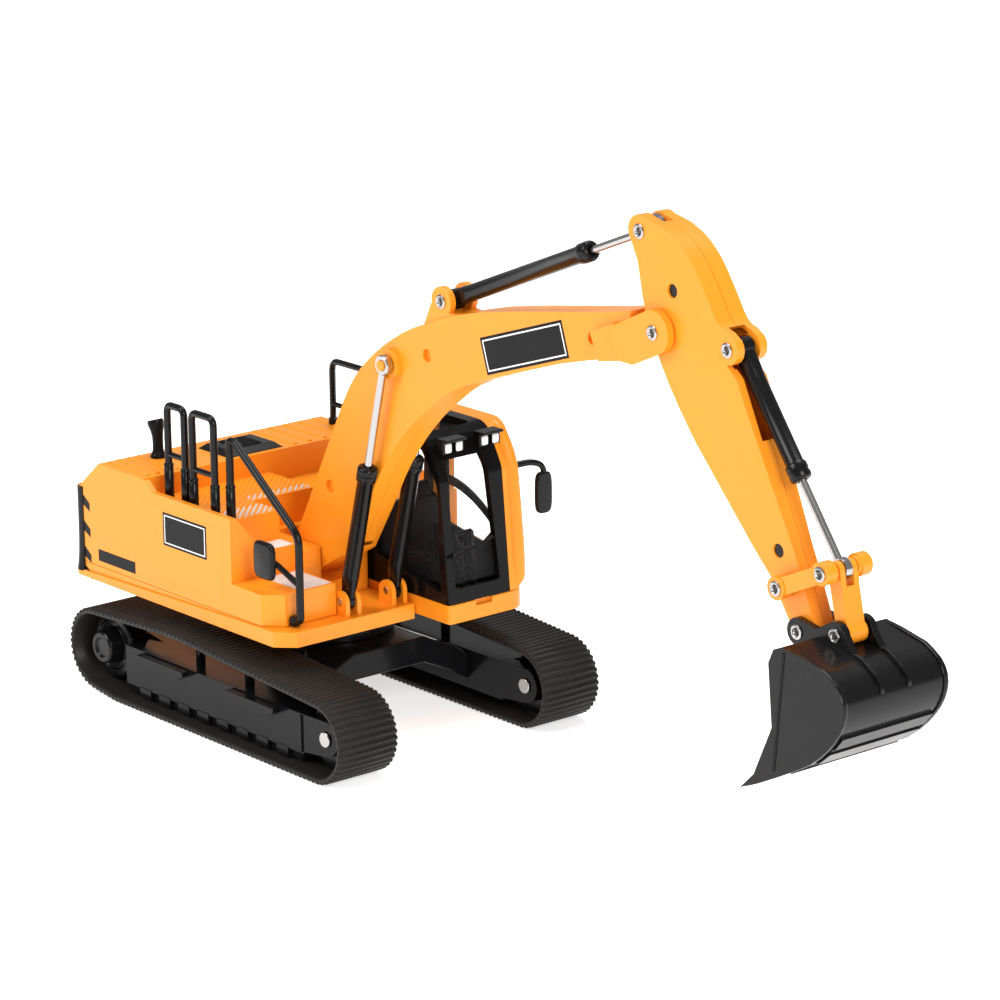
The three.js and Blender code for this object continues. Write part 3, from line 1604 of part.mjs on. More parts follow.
function frontEnd() {
  const eyeSlot = arm.slot / 2 - SIDE_GAP;
  return group(
    piece("boom_half_right", "yellow", boomHalf(-1)),
    piece("boom_half_left", "yellow", boomHalf(1)),
    piece("arm_pivot_pin", "chrome", headedPin(armPivot, boom.forkHalf)),
    piece("arm_cylinder_base_pin", "chrome", headedPin(armCylinderBase, boom.lugHalf)),
    liftCylinder("right", -1),
    liftCylinder("left", 1),
    piece("arm_barrel", "black", barrelOf(armCylinderBase, armCylinderEye, boomLine,
      barrelLength.arm, { neck: 6, eyeHalf: boom.lugHalf - boom.lugPlate - SIDE_GAP })),
    piece("arm_rod", "chrome", rodOf(armCylinderBase, armCylinderEye, boomLine, 30, {
      eyeHalf: eyeSlot,
      eyeOuter: 3.9,
      eyeBore: 2.9,
    })),
    piece("arm_half_right", "yellow", armHalf(-1)),
    piece("arm_half_left", "yellow", armHalf(1)),
    piece("arm_screw_upper", "black", armScrew(armScrewPlaces.upper, arm.half)),
    piece("arm_screw_lower", "black", armScrew(armScrewPlaces.lower, arm.endHalf + 0.35)),
    piece("arm_cylinder_rod_pin", "chrome", headedPin(armCylinderEye, arm.half)),
    piece("bucket_cylinder_base_pin", "chrome", headedPin(bucketCylinderBase, arm.half)),
    piece("rocker_pin", "chrome", rockerPin()),
    piece("bucket_barrel", "black", barrelOf(bucketCylinderBase, rockerEye, boomLine,
      barrelLength.bucket, { neck: 6, eyeHalf: cylinder.barrel })),
    piece("bucket_rod", "chrome", rodOf(bucketCylinderBase, rockerEye, boomLine, 20, {
      eyeBore: 1.5 + RUNNING,
      eyeHalf: 1,
    })),
    piece("rocker_right", "yellow", rockerLink(-1)),
    piece("rocker_left", "yellow", rockerLink(1)),
    piece("bucket_link", "yellow", bucketLink()),
    piece("bucket", "black", bucketShell()),
    piece("bucket_pivot_pin", "chrome", headedPin(bucketPivot, bucket.earHalf)),
    piece("bucket_link_pin", "chrome", headedPin(bucketEye, bucket.earHalf)),
  );
}

const excavator = group(undercarriage(), houseAssembly(), cabAssembly(), frontEnd());
const extent = new THREE.Box3().setFromObject(excavator);
const middle = extent.getCenter(new THREE.Vector3());
excavator.position.set(-middle.x, -middle.y, -extent.min.z);

export default excavator;
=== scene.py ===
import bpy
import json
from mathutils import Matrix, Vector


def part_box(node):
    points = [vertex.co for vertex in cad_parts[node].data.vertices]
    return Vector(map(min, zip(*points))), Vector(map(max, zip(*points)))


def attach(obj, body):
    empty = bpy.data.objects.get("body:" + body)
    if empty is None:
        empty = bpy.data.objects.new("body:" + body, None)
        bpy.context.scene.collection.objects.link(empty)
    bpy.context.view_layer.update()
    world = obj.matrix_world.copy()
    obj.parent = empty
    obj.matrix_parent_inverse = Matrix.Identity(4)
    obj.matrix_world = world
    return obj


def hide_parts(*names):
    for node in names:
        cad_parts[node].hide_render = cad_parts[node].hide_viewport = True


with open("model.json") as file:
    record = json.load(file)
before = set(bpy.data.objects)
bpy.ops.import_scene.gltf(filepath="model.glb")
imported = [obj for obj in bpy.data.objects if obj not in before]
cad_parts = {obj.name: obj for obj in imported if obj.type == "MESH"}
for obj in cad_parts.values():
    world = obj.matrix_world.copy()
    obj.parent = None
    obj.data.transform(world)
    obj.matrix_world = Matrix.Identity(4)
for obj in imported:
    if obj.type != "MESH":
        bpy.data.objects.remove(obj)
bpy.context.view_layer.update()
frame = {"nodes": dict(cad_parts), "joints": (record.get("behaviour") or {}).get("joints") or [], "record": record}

import json
import math

import bmesh
import bpy
import numpy as np
from bpy.props import FloatProperty, FloatVectorProperty, PointerProperty
from mathutils import Matrix, Vector
from mathutils.bvhtree import BVHTree

bl_info = {
    "name": "Toy excavator",
    "version": (1, 0, 0),
    "blender": (4, 5, 0),
    "location": "View3D > Sidebar > Excavator",
    "description": "Builds the surfaces and finishes of a toy crawler excavator round its packed frame",
    "category": "Add Mesh",
}

# ---------------------------------------------------------------- places from the frame

MM = 0.001
ALONG_X = np.array([1.0, 0.0, 0.0])
ALONG_Y = np.array([0.0, 1.0, 0.0])
ALONG_Z = np.array([0.0, 0.0, 1.0])
SIDES = {"right": -1.0, "left": 1.0}

# In the CAD's meshes, vertices nearer than MERGE are one, edges shorter than SHORT are dropped, and faces
# that turn by less than FLAT are one flat face.
MERGE = 0.03 * MM
SHORT = 0.02 * MM
FLAT = math.radians(1.5)


def box(node):
    """Lowest and highest corner of a node, in millimetres."""
    low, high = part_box(node)
    return np.array(low) / MM, np.array(high) / MM


def middle(node):
    """Middle of a node's box, in millimetres."""
    low, high = box(node)
    return (low + high) / 2


def side_face(node, outward):
    """Y of a node's right face, or of its left one, in millimetres."""
    low, high = box(node)
    return low[1] if outward < 0 else high[1]


def pivot(joint):
    """Place of a joint, in millimetres."""
    found = next(j for j in frame["joints"] if j["name"] == joint)
    return np.array(found["pos_m"]) / MM


SLEW = pivot("slew")
BOOM_LINE = pivot("boom_lift")[1]

# ---------------------------------------------------------------- sizes and colours


def length(name, description, value):
    """A property that holds a length in millimetres."""
    return FloatProperty(name=name, description=description, default=value, min=0.0, precision=2)


def paint(name, description, red, green, blue):
    """A property that holds a linear colour."""
    return FloatVectorProperty(
        name=name,
        description=description,
        subtype="COLOR",
        size=3,
        min=0.0,
        max=1.0,
        default=(red, green, blue),
    )


class ExcavatorSizes(bpy.types.PropertyGroup):
    """Sizes of the fine details, in millimetres."""

    rib_pitch: length("Rib pitch", "Distance between two ribs of a belt", 2.05)
    rib_depth: length("Rib depth", "Height of a rib over the groove beside it", 0.62)
    rib_groove: FloatProperty(
        name="Groove share",
        description="Share of the pitch that the groove takes",
        default=0.36,
        min=0.1,
        max=0.9,
        subtype="FACTOR",
    )
    boom_half: length("Boom half width", "Half the width of the boom's sides", 5.4)
    panel_round: length("Panel rounding", "Rounding of the edges of the house", 1.2)
    beam_round: length("Beam rounding", "Rounding of the edges of the boom and arm", 0.55)
    small_round: length("Small rounding", "Rounding of the edges of small pieces", 0.22)
    tread_height: length("Tread height", "Height of the ridges of the walkway and steps", 0.35)
    tread_pitch: length("Tread pitch", "Distance between two ridges of the walkway", 1.55)
    tread_width: length("Tread width", "Width of a ridge of the walkway", 0.7)
    decal_rise: length("Decal rise", "Height of a printed film over the plastic", 0.04)
    pin_dish: length("Pin dish", "Depth of the hollow in a pin's head", 1.8)


class ExcavatorColours(bpy.types.PropertyGroup):
    """Linear colours of the finishes."""

    yellow: paint("Yellow", "Warm yellow moulded plastic", 0.93, 0.295, 0.013)
    black: paint("Black", "Black moulded plastic", 0.0045, 0.0042, 0.0042)
    casting: paint("Casting", "Gloss black paint of the die castings", 0.006, 0.006, 0.007)
    rubber: paint("Rubber", "Black rubber of the belts", 0.014, 0.0125, 0.0115)
    steel: paint("Steel", "Plated pins and rods", 0.46, 0.45, 0.44)
    print_silver: paint("Silver print", "Silver print on the walkway ridges", 0.80, 0.78, 0.76)
    film: paint("Film", "Black printed film", 0.008, 0.008, 0.008)
    clear: paint("Clear", "Clear moulded plastic", 0.22, 0.22, 0.23)
    lens: paint("Lens", "White lamp lenses", 0.85, 0.85, 0.85)
    floor: paint("Floor", "Plain pale floor", 0.92, 0.92, 0.92)


def sizes():
    """The fine sizes of this scene."""
    return bpy.context.scene.excavator_sizes


def colours():
    """The colours of this scene."""
    return bpy.context.scene.excavator_colours


# ---------------------------------------------------------------- surfaces


def unit(vector):
    """A vector of length one in the same direction, row by row."""
    return vector / np.linalg.norm(vector, axis=-1, keepdims=True)


def shell(grid, loop_u=False):
    """A surface over a grid of points whose rows are rings: point (i, j) meets (i+1, j) and (i, j+1).
    A grid that doesn't loop along its rows is closed by a flat face at its first and last row."""
    rows, columns = grid.shape[:2]
    i = np.arange(rows if loop_u else rows - 1)[:, None]
    j = np.arange(columns)[None, :]
    a = i * columns + j
    b = i * columns + (j + 1) % columns
    c = ((i + 1) % rows) * columns + (j + 1) % columns
    d = ((i + 1) % rows) * columns + j
    faces = np.stack([a, b, c, d], -1).reshape(-1, 4).tolist()
    if not loop_u:
        faces.append(list(range(columns))[::-1])
        faces.append(list(range((rows - 1) * columns, rows * columns)))
    return facing_out(grid.reshape(-1, 3), faces)


def facing_out(points, faces):
    """The same surface with its faces turned round if it encloses a negative volume."""
    fans = [(f[0], f[k], f[k + 1]) for f in faces for k in range(1, len(f) - 1)]
    a, b, c = (points[np.array(fans)[:, k]] for k in range(3))
    if np.einsum("ij,ij->i", a, np.cross(b, c)).sum() < 0:
        faces = [f[::-1] for f in faces]
    return points, faces


def full_turn(sides):
    """Cosines and sines at equal steps of one turn."""
    turn = np.linspace(0, 2 * np.pi, sides, endpoint=False)
    return np.cos(turn), np.sin(turn)


def lathe(start, axis, profile, sides=48):
    """A turned solid. Its point at (s, t) is start + axis * along(s) + radius(s) * (e1 cos t + e2 sin t),
    where e1 and e2 are square to the axis and the profile lists (along, radius) in order."""
    axis = unit(np.array(axis, float))
    helper = ALONG_X if abs(axis[0]) < 0.9 else ALONG_Z
    e1 = unit(np.cross(axis, helper))
    e2 = np.cross(axis, e1)
    along, radius = np.array(profile, float).T
    cos, sin = full_turn(sides)
    ring = cos[:, None] * e1 + sin[:, None] * e2
    spine = np.array(start, float) + along[:, None] * axis
    grid = spine[:, None, :] + np.maximum(radius, 1e-4)[:, None, None] * ring[None]
    return shell(grid)


def rounded_route(points, radius, steps=6):
    """A polyline whose knees are parabolas: each knee runs from a point before it to one after it."""
    points = [np.array(p, float) for p in points]
    route = [points[0]]
    for before, knee, after in zip(points, points[1:], points[2:]):
        reach = min(radius, np.linalg.norm(before - knee) * 0.48, np.linalg.norm(after - knee) * 0.48)
        start = knee + unit(before - knee) * reach
        end = knee + unit(after - knee) * reach
        t = np.linspace(0, 1, steps + 1)[:, None]
        route.extend((1 - t) ** 2 * start + 2 * t * (1 - t) * knee + t**2 * end)
    route.append(points[-1])
    return np.array(route)


def tube(route, radius, sides=20, side_axis=ALONG_Y):
    """A bar along a route: at each station a circle of the given radius lies square to the route,
    with one of its axes as near as it can be to side_axis. A list of radii gives each station its own."""
    tangent = unit(np.gradient(route, axis=0))
    e1 = unit(side_axis - (tangent @ side_axis)[:, None] * tangent)
    e2 = np.cross(tangent, e1)
    cos, sin = full_turn(sides)
    radius = np.broadcast_to(np.array(radius, float), len(route))[:, None, None]
    ring = cos[None, :, None] * e1[:, None] + sin[None, :, None] * e2[:, None]
    return shell(route[:, None, :] + radius * ring)


def rounded_bars(starts, ends, normal, width, height):
    """Straight ridges with rounded backs: at each end of a ridge stands an arch of five points,
    width * cos(t) / 2 to the side and height * sin(t) up, and the two arches are joined."""
    starts, ends = np.array(starts, float), np.array(ends, float)
    normal = unit(np.array(normal, float))
    side = unit(np.cross(normal, ends - starts))
    t = np.linspace(0, np.pi, 5)
    aside, up = np.cos(t) * width / 2, np.sin(t) * height
    arch = side[:, None] * aside[None, :, None] + normal * up[None, :, None]
    grid = np.concatenate([starts[:, None] + arch, ends[:, None] + arch], axis=1)
    faces = [[0, 1, 2, 3, 4], [9, 8, 7, 6, 5], [0, 4, 9, 5]]
    faces += [[k, k + 5, k + 6, k + 1] for k in range(4)]
    every = [[k + 10 * n for k in face] for n in range(len(starts)) for face in faces]
    return facing_out(grid.reshape(-1, 3), every)


def sheet(corners, normal, thickness):
    """A thin flat film: its outline and the same outline moved out along the normal."""
    corners = np.array(corners, float)
    top = corners + unit(np.array(normal, float)) * thickness
    count = len(corners)
    sides = [[k, (k + 1) % count, (k + 1) % count + count, k + count] for k in range(count)]
    faces = [list(range(count))[::-1], list(range(count, 2 * count))] + sides
    return facing_out(np.concatenate([corners, top]), faces)


def loft(start, axis, side, stations, sides=28):
    """A bar whose section changes along a straight axis. A station (along, a, b, n) is a superellipse
    |u / a|^n + |v / b|^n = 1, with v along the side direction and u square to both."""
    axis, side = unit(np.array(axis, float)), unit(np.array(side, float))
    across = np.cross(side, axis)
    along, a, b, n = (np.array(stations, float)[:, k][:, None] for k in range(4))
    u, v = (half * np.sign(w) * np.abs(w) ** (2 / n) for half, w in zip((a, b), full_turn(sides)))
    spine = np.array(start, float) + along[..., None] * axis
    return shell(spine + u[..., None] * across + v[..., None] * side)


def eye_ring(centre, half, outer, inner):
    """A ring about a cross pin, with softened rims: a closed profile turned about Y."""
    soft = min(0.25, half / 3)
    across, radius = np.array([
        (-half, inner), (-half, outer - soft), (-half + soft, outer),
        (half - soft, outer), (half, outer - soft), (half, inner),
    ]).T
    cos, sin = full_turn(40)
    ring = np.stack([cos, np.zeros_like(cos), sin], -1)
    grid = radius[:, None, None] * ring[None] + across[:, None, None] * ALONG_Y
    return shell(np.array(centre, float) + grid, loop_u=True)


def side_outline(node, y):
    """The side outline of a node on the plane at y: the rim of its flat faces there, in order."""
    mesh = frame["nodes"][node].data
    cage = bmesh.new()
    cage.from_mesh(mesh)
    bmesh.ops.remove_doubles(cage, verts=cage.verts, dist=MERGE)
    flat = {
        face for face in cage.faces
        if abs(face.normal.y) > 0.99 and abs(face.calc_center_median().y / MM - y) < 0.05
    }
    rim = {}
    for face in flat:
        for loop in face.loops:
            if sum(f in flat for f in loop.edge.link_faces) == 1:
                rim[loop.vert.index] = loop.link_loop_next.vert.index
    places = {v.index: (v.co.x / MM, v.co.z / MM) for v in cage.verts}
    cage.free()
    outlines = []
    while rim:
        first, follower = rim.popitem()
        chain = [first]
        while follower in rim:
            chain.append(follower)
            follower = rim.pop(follower)
        outlines.append(np.array([places[k] for k in chain]))
    return max(outlines, key=len)


def top_of(node, x, y):
    """Height of the upper surface of a node at a place, in millimetres."""
    mesh = frame["nodes"][node].data
    tree = BVHTree.FromPolygons([v.co for v in mesh.vertices], [p.vertices for p in mesh.polygons])
    hit = tree.ray_cast(Vector((x * MM, y * MM, 1.0)), Vector((0.0, 0.0, -1.0)))[0]
    return hit.z / MM


def even_steps(line, count, endpoint=True):
    """Points at equal steps along a line in a plane, and the line's length."""
    travelled = np.concatenate([[0], np.cumsum(np.linalg.norm(np.diff(line, axis=0), axis=1))])
    even = np.linspace(0, travelled[-1], count, endpoint=endpoint)
    return np.stack([np.interp(even, travelled, line[:, k]) for k in range(2)], -1), travelled[-1]


def joined(*surfaces):
    """Several surfaces as one."""
    points, faces, count = [], [], 0
    for more_points, more_faces in surfaces:
        points.append(more_points)
        faces.extend([[k + count for k in face] for face in more_faces])
        count += len(more_points)
    return np.concatenate(points), faces


def placed(name, data):
    """A new object in the scene."""
    item = bpy.data.objects.new(name, data)
    bpy.context.scene.collection.objects.link(item)
    return item


def piece(name, surface, material, body, replaces=(), smooth_angle=35.0):
    """A named object from a surface in millimetres, riding on a body."""
    points, faces = surface
    mesh = bpy.data.meshes.new(name)
    mesh.from_pydata((points * MM).tolist(), [], faces)
    mesh.validate()
    finished(placed(name, mesh), material, body, replaces, smooth_angle)


def finished(item, material, body, replaces, smooth_angle):
    """Gives a piece its shading, material and body, and hides the nodes it replaces."""
    mesh = item.data
    mesh.shade_smooth()
    mesh.set_sharp_from_angle(angle=math.radians(smooth_angle))
    mesh.materials.clear()
    mesh.materials.append(material)
    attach(item, body)
    if replaces:
        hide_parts(*replaces)


def body_of(node):
    """The body that a node belongs to."""
    groups = frame["record"]["behaviour"]["bodies"]
    return next(body for body, members in groups.items() if node in members)


def softened(node, material, rounding, segments=2, turn=32.0, rejoin=True):
    """A copy of a node with its flat faces rejoined and its edges rounded, standing for the node."""
    mesh = frame["nodes"][node].data.copy()
    mesh.name = f"{node}_surface"
    cage = bmesh.new()
    cage.from_mesh(mesh)
    bmesh.ops.remove_doubles(cage, verts=cage.verts, dist=MERGE)
    bmesh.ops.dissolve_degenerate(cage, dist=SHORT, edges=cage.edges)
    if rejoin:
        bmesh.ops.dissolve_limit(
            cage,
            angle_limit=FLAT,
            use_dissolve_boundaries=False,
            verts=cage.verts,
            edges=cage.edges,
        )
    cage.to_mesh(mesh)
    cage.free()
    item = placed(f"{node}_surface", mesh)
    bevel = item.modifiers.new("Rounded edges", "BEVEL")
    bevel.width = rounding * MM
    bevel.segments = segments
    bevel.limit_method = "ANGLE"
    bevel.angle_limit = math.radians(turn)
    bevel.use_clamp_overlap = True
    bevel.miter_outer = "MITER_ARC"
    bevel.harden_normals = False
    weighted = item.modifiers.new("Flat faces stay flat", "WEIGHTED_NORMAL")
    weighted.keep_sharp = True
    weighted.weight = 80
    finished(item, material, body_of(node), [node], smooth_angle=50.0)


# ---------------------------------------------------------------- materials


class Nodes:
    """Short ways to add and feed the nodes of one tree."""

    def __init__(self, tree):
        self.tree = tree

    def add(self, kind, inputs=None, **settings):
        """A new node with its settings, then its inputs."""
        node = self.tree.nodes.new(kind)
        for name, value in settings.items():
            setattr(node, name, value)
        self.feed(node, inputs or {})
        return node

    def feed(self, node, inputs):
        """Links or sets inputs of a node."""
        for name, value in inputs.items():
            if isinstance(value, bpy.types.NodeSocket):
                self.tree.links.new(value, node.inputs[name])
            else:
                node.inputs[name].default_value = value

    def noise(self, place, scale, detail):
        """Noise at a place."""
        inputs = {"Vector": place, "Scale": scale, "Detail": detail}
        return self.add("ShaderNodeTexNoise", inputs).outputs["Fac"]

    def remap(self, value, low, high, to_low=0.0, to_high=1.0):
        """A value carried from one range to another."""
        ends = {"From Min": low, "From Max": high, "To Min": to_low, "To Max": to_high}
        return self.add("ShaderNodeMapRange", {"Value": value, **ends}).outputs[0]

    def calculate(self, operation, first, second):
        """A sum or product of two values."""
        return self.add("ShaderNodeMath", {0: first, 1: second}, operation=operation).outputs[0]


def shader_group(name, inputs, outputs):
    """An empty shader node group with float inputs and outputs, and its two end nodes."""
    tree = bpy.data.node_groups.new(name, "ShaderNodeTree")
    for label, value in inputs.items():
        socket = tree.interface.new_socket(label, in_out="INPUT", socket_type="NodeSocketFloat")
        socket.default_value = value
    for label in outputs:
        tree.interface.new_socket(label, in_out="OUTPUT", socket_type="NodeSocketFloat")
    nodes = Nodes(tree)
    return tree, nodes, nodes.add("NodeGroupInput"), nodes.add("NodeGroupOutput")


SCRATCHES = {"stretch": (90.0, 2600.0, 2600.0), "from": 0.68, "to": 0.78, "depth": 0.12}
CLOUDS = {"from": 0.3, "to": 0.7}


def moulded_skin():
    """Node group for the skin of a moulding: a fine orange-peel height, slow cloudy variation in gloss,
    and faint handling marks as thin stretched scratches."""
    name = "Moulded skin"
    if name in bpy.data.node_groups:
        return bpy.data.node_groups[name]
    tree, nodes, start, end = shader_group(
        name,
        {"Grain": 900.0, "Cloud": 60.0, "Gloss low": 0.3, "Gloss high": 0.4},
        ("Roughness", "Height", "Cloud mask"),
    )
    place = nodes.add("ShaderNodeTexCoord").outputs["Object"]
    stretched = nodes.add("ShaderNodeMapping", {"Vector": place, "Scale": SCRATCHES["stretch"]}).outputs[0]
    lines = nodes.noise(stretched, 1.0, 2.0)
    rare = nodes.remap(lines, SCRATCHES["from"], SCRATCHES["to"], 0.0, SCRATCHES["depth"])
    cloud = nodes.noise(place, start.outputs["Cloud"], 4.0)
    gloss = nodes.remap(
        cloud, CLOUDS["from"], CLOUDS["to"], start.outputs["Gloss low"], start.outputs["Gloss high"]
    )
    nodes.feed(end, {
        "Roughness": nodes.calculate("ADD", gloss, rare),
        "Height": nodes.noise(place, start.outputs["Grain"], 3.0),
        "Cloud mask": cloud,
    })
    return tree


def settled_dust():
    """Node group for a trace of dust: it gathers on faces that look up, in cloudy patches."""
    name = "Settled dust"
    if name in bpy.data.node_groups:
        return bpy.data.node_groups[name]
    tree, nodes, start, end = shader_group(name, {"Amount": 0.1, "Patch": 120.0}, ("Mask",))
    place = nodes.add("ShaderNodeTexCoord").outputs["Object"]
    normal = nodes.add("ShaderNodeNewGeometry").outputs["Normal"]
    up = nodes.add("ShaderNodeSeparateXYZ", {"Vector": normal}).outputs["Z"]
    patches = nodes.noise(place, start.outputs["Patch"], 5.0)
    both = nodes.calculate("MULTIPLY", nodes.remap(up, 0.1, 1.0), patches)
    nodes.feed(end, {"Mask": nodes.calculate("MULTIPLY", both, start.outputs["Amount"])})
    return tree


def new_material(name):
    """A material, its nodes and its Principled shader."""
    material = bpy.data.materials.new(name)
    material.use_nodes = True
    return material, Nodes(material.node_tree), material.node_tree.nodes["Principled BSDF"]


DUST_COLOUR = (0.45, 0.43, 0.40, 1.0)
GRAIN_STRENGTH = 0.35
COAT_ROUGHNESS = 0.08

# Each finish: the name of its material, its colour, its gloss as a roughness, the depth of its grain in
# millimetres, and what it changes of the defaults of moulded().
FINISHES = {
    "yellow": ("Yellow moulding", "yellow", 0.32, 0.02, {"specular": 0.34}),
    "black": ("Black moulding", "black", 0.22, 0.03, {"dust": 0.003, "specular": 0.22}),
    "matt": ("Matt black moulding", "black", 0.34, 0.05, {"dust": 0.003, "specular": 0.12}),
    "gloss": ("Gloss black moulding", "black", 0.15, 0.02, {"dust": 0.002, "specular": 0.12}),
    "painted": ("Gloss black paint", "casting", 0.15, 0.03,
                {"grain": 500.0, "dust": 0.002, "specular": 0.13}),
    "rubber": ("Belt rubber", "rubber", 0.42, 0.08, {"grain": 1400.0, "dust": 0.012, "specular": 0.18}),
    "steel": ("Bright steel", "steel", 0.16, 0.01, {"metallic": 1.0, "dust": 0.0, "shade": 0.1}),
    "silver": ("Silver print", "print_silver", 0.38, 0.03, {"metallic": 0.35, "dust": 0.0, "shade": 0.12}),
    "film": ("Black print", "film", 0.3, 0.01, {"dust": 0.0, "specular": 0.1}),
    "lens": ("Lamp lens", "lens", 0.2, 0.01, {"coat": 0.5, "dust": 0.0}),
}


def finish(key):
    """The material of a finish, made the first time it is asked for."""
    name, colour, gloss, grain_depth, changes = FINISHES[key]
    if name in bpy.data.materials:
        return bpy.data.materials[name]
    return moulded(name, tuple(getattr(colours(), colour)), gloss, grain_depth, **changes)


def moulded(name, colour, gloss, grain_depth, grain=900.0, metallic=0.0, coat=0.0, dust=0.01, shade=0.04,
            specular=0.5):
    """A moulded or coated finish: its colour drifts a little with the cloud of the skin and with dust."""
    material, nodes, shader = new_material(name)
    glosses = {"Gloss low": gloss - 0.04, "Gloss high": gloss + 0.06}
    skin = nodes.add("ShaderNodeGroup", {"Grain": grain, **glosses}, node_tree=moulded_skin())
    film = nodes.add("ShaderNodeGroup", {"Amount": dust}, node_tree=settled_dust())
    darker = tuple(max(0.0, c * (1 - shade)) for c in colour)
    drift = {"Factor": skin.outputs["Cloud mask"], "A": (*darker, 1.0), "B": (*colour, 1.0)}
    tint = nodes.add("ShaderNodeMix", drift, data_type="RGBA").outputs["Result"]
    dusting = {"Factor": film.outputs["Mask"], "A": tint, "B": DUST_COLOUR}
    grains = {"Strength": GRAIN_STRENGTH, "Distance": grain_depth * MM, "Height": skin.outputs["Height"]}
    nodes.feed(shader, {
        "Base Color": nodes.add("ShaderNodeMix", dusting, data_type="RGBA").outputs["Result"],
        "Roughness": skin.outputs["Roughness"],
        "Normal": nodes.add("ShaderNodeBump", grains).outputs["Normal"],
        "Metallic": metallic,
        "Coat Weight": coat,
        "Coat Roughness": COAT_ROUGHNESS,
        "Specular IOR Level": specular,
    })
    return material


def clear_plastic():
    """Clear moulding: a thin transparent sheet with gloss, whose see-through part is a plain alpha."""
    material, nodes, shader = new_material("Clear moulding")
    skin = nodes.add("ShaderNodeGroup", {"Gloss low": 0.04, "Gloss high": 0.09}, node_tree=moulded_skin())
    nodes.feed(shader, {
        "Base Color": (*colours().clear, 1.0),
        "Alpha": 0.035,
        "IOR": 1.5,
        "Roughness": skin.outputs["Roughness"],
    })
    return material


# ---------------------------------------------------------------- belts and undercarriage

CROWN = {"place": -14.0, "radius": 150.0, "reach": 9.0}
ROLLER = {"place": -44.0, "radius": 8.0}
BELT = {"thickness": 1.9, "edge": 0.35, "steps_per_rib": 8, "steepness": 1.4}


def belt_route(side, count):
    """The outer line of a belt, at equal steps, and its length: the convex outline of its front wheel,
    rear wheel, rear roller and crown. In a direction n the outline lies at the circle whose
    centre . n + radius is largest."""
    front, rear = pivot(f"front_wheel_{side}_spin"), pivot(f"rear_wheel_{side}_spin")
    low, high = box(f"track_belt_{side}")
    tilt = np.linspace(-1, 1, 9) * CROWN["reach"] / CROWN["radius"]
    crown_x = SLEW[0] + CROWN["place"] + CROWN["radius"] * np.sin(tilt)
    crown_z = high[2] - CROWN["radius"] * (1 - np.cos(tilt))
    centres = np.concatenate([
        [front[[0, 2]], rear[[0, 2]], [SLEW[0] + ROLLER["place"], ROLLER["radius"]]],
        np.stack([crown_x, crown_z], -1),
    ])
    radii = np.array([high[0] - front[0], rear[0] - low[0], ROLLER["radius"], *np.zeros(len(tilt))])
    turn = np.linspace(0, 2 * np.pi, 1441)
    normal = np.stack([np.cos(turn), np.sin(turn)], -1)
    widest = np.argmax(normal @ centres.T + radii, axis=1)
    return even_steps(centres[widest] + radii[widest][:, None] * normal, count, endpoint=False)


def ribbed_belt(side):
    """A belt as a grid: along its route, and round its section. Each rib is a smooth step of the outer
    face: rise = clip((cos(2 pi s / pitch) + bias) * steepness), carried over the belt's edges."""
    fine = sizes()
    low, high = box(f"track_belt_{side}")
    total = belt_route(side, 400)[1]
    per_rib = BELT["steps_per_rib"]
    line = belt_route(side, round(total / fine.rib_pitch) * per_rib)[0]
    tangent = unit(np.roll(line, -1, axis=0) - np.roll(line, 1, axis=0))
    outward = np.stack([tangent[:, 1], -tangent[:, 0]], -1)
    phase = 2 * np.pi * np.arange(len(line)) / per_rib
    bias = math.cos(math.pi * (1 - fine.rib_groove))
    rise = np.clip((np.cos(phase) - bias) * BELT["steepness"], 0, 1)
    groove = -fine.rib_depth * (1 - rise)
    half = (high[1] - low[1]) / 2
    edge, thickness = BELT["edge"], BELT["thickness"]
    section = [
        (-half, edge - thickness, 0), (-half, -edge, 1), (-half + edge, 0, 1), (0, 0, 1),
        (half - edge, 0, 1), (half, -edge, 1), (half, edge - thickness, 0), (half - edge, -thickness, 0),
        (0, -thickness, 0), (-half + edge, -thickness, 0),
    ]
    across, drop, share = np.array(section, float).T
    depth = drop[None, :] + share[None, :] * groove[:, None]
    flat = line[:, None, :] + outward[:, None, :] * depth[..., None]
    y = np.broadcast_to(middle(f"track_belt_{side}")[1] + across, depth.shape)
    grid = np.stack([flat[..., 0], y, flat[..., 1]], -1)
    return shell(grid, loop_u=True)


class EXCAVATOR_OT_belts(bpy.types.Operator):
    """Make the two ribbed rubber belts"""

    bl_idname = "excavator.belts"
    bl_label = "Belts"

    def execute(self, context):
        for side in SIDES:
            node = f"track_belt_{side}"
            piece(f"ribbed_belt_{side}", ribbed_belt(side), finish("rubber"), "undercarriage",
                  [node], smooth_angle=60.0)
        return {"FINISHED"}


class EXCAVATOR_OT_undercarriage(bpy.types.Operator):
    """Make the castings, wheels, axles and turntable between the belts"""

    bl_idname = "excavator.undercarriage"
    bl_label = "Undercarriage"

    def execute(self, context):
        fine = sizes()
        softened("carbody", finish("painted"), fine.small_round * 2)
        softened("turntable_drum", finish("black"), fine.small_round)
        softened("slew_pin", finish("steel"), fine.small_round)
        for side in SIDES:
            softened(f"side_frame_{side}", finish("painted"), fine.small_round, rejoin=False)
            softened(f"front_wheel_{side}", finish("black"), fine.small_round)
            softened(f"rear_wheel_{side}", finish("black"), fine.small_round)
            softened(f"front_axle_{side}", finish("steel"), fine.small_round)
        return {"FINISHED"}


# ---------------------------------------------------------------- house

# Plan places, in millimetres forward of the slew axis and to the left of the middle.
WALKWAY = {"back": -33.0, "front": 0.4, "right": -39.2, "left": -18.9}
BEHIND_BOOM = {"back": -33.0, "front": -12.6, "right": -18.0, "left": 3.6}
STEP = {"back": 1.6, "front": 7.9, "right": -30.8, "left": -19.0}
PLATFORM = {"back": 10.2, "front": 26.2, "right": -30.8, "left": -19.2}
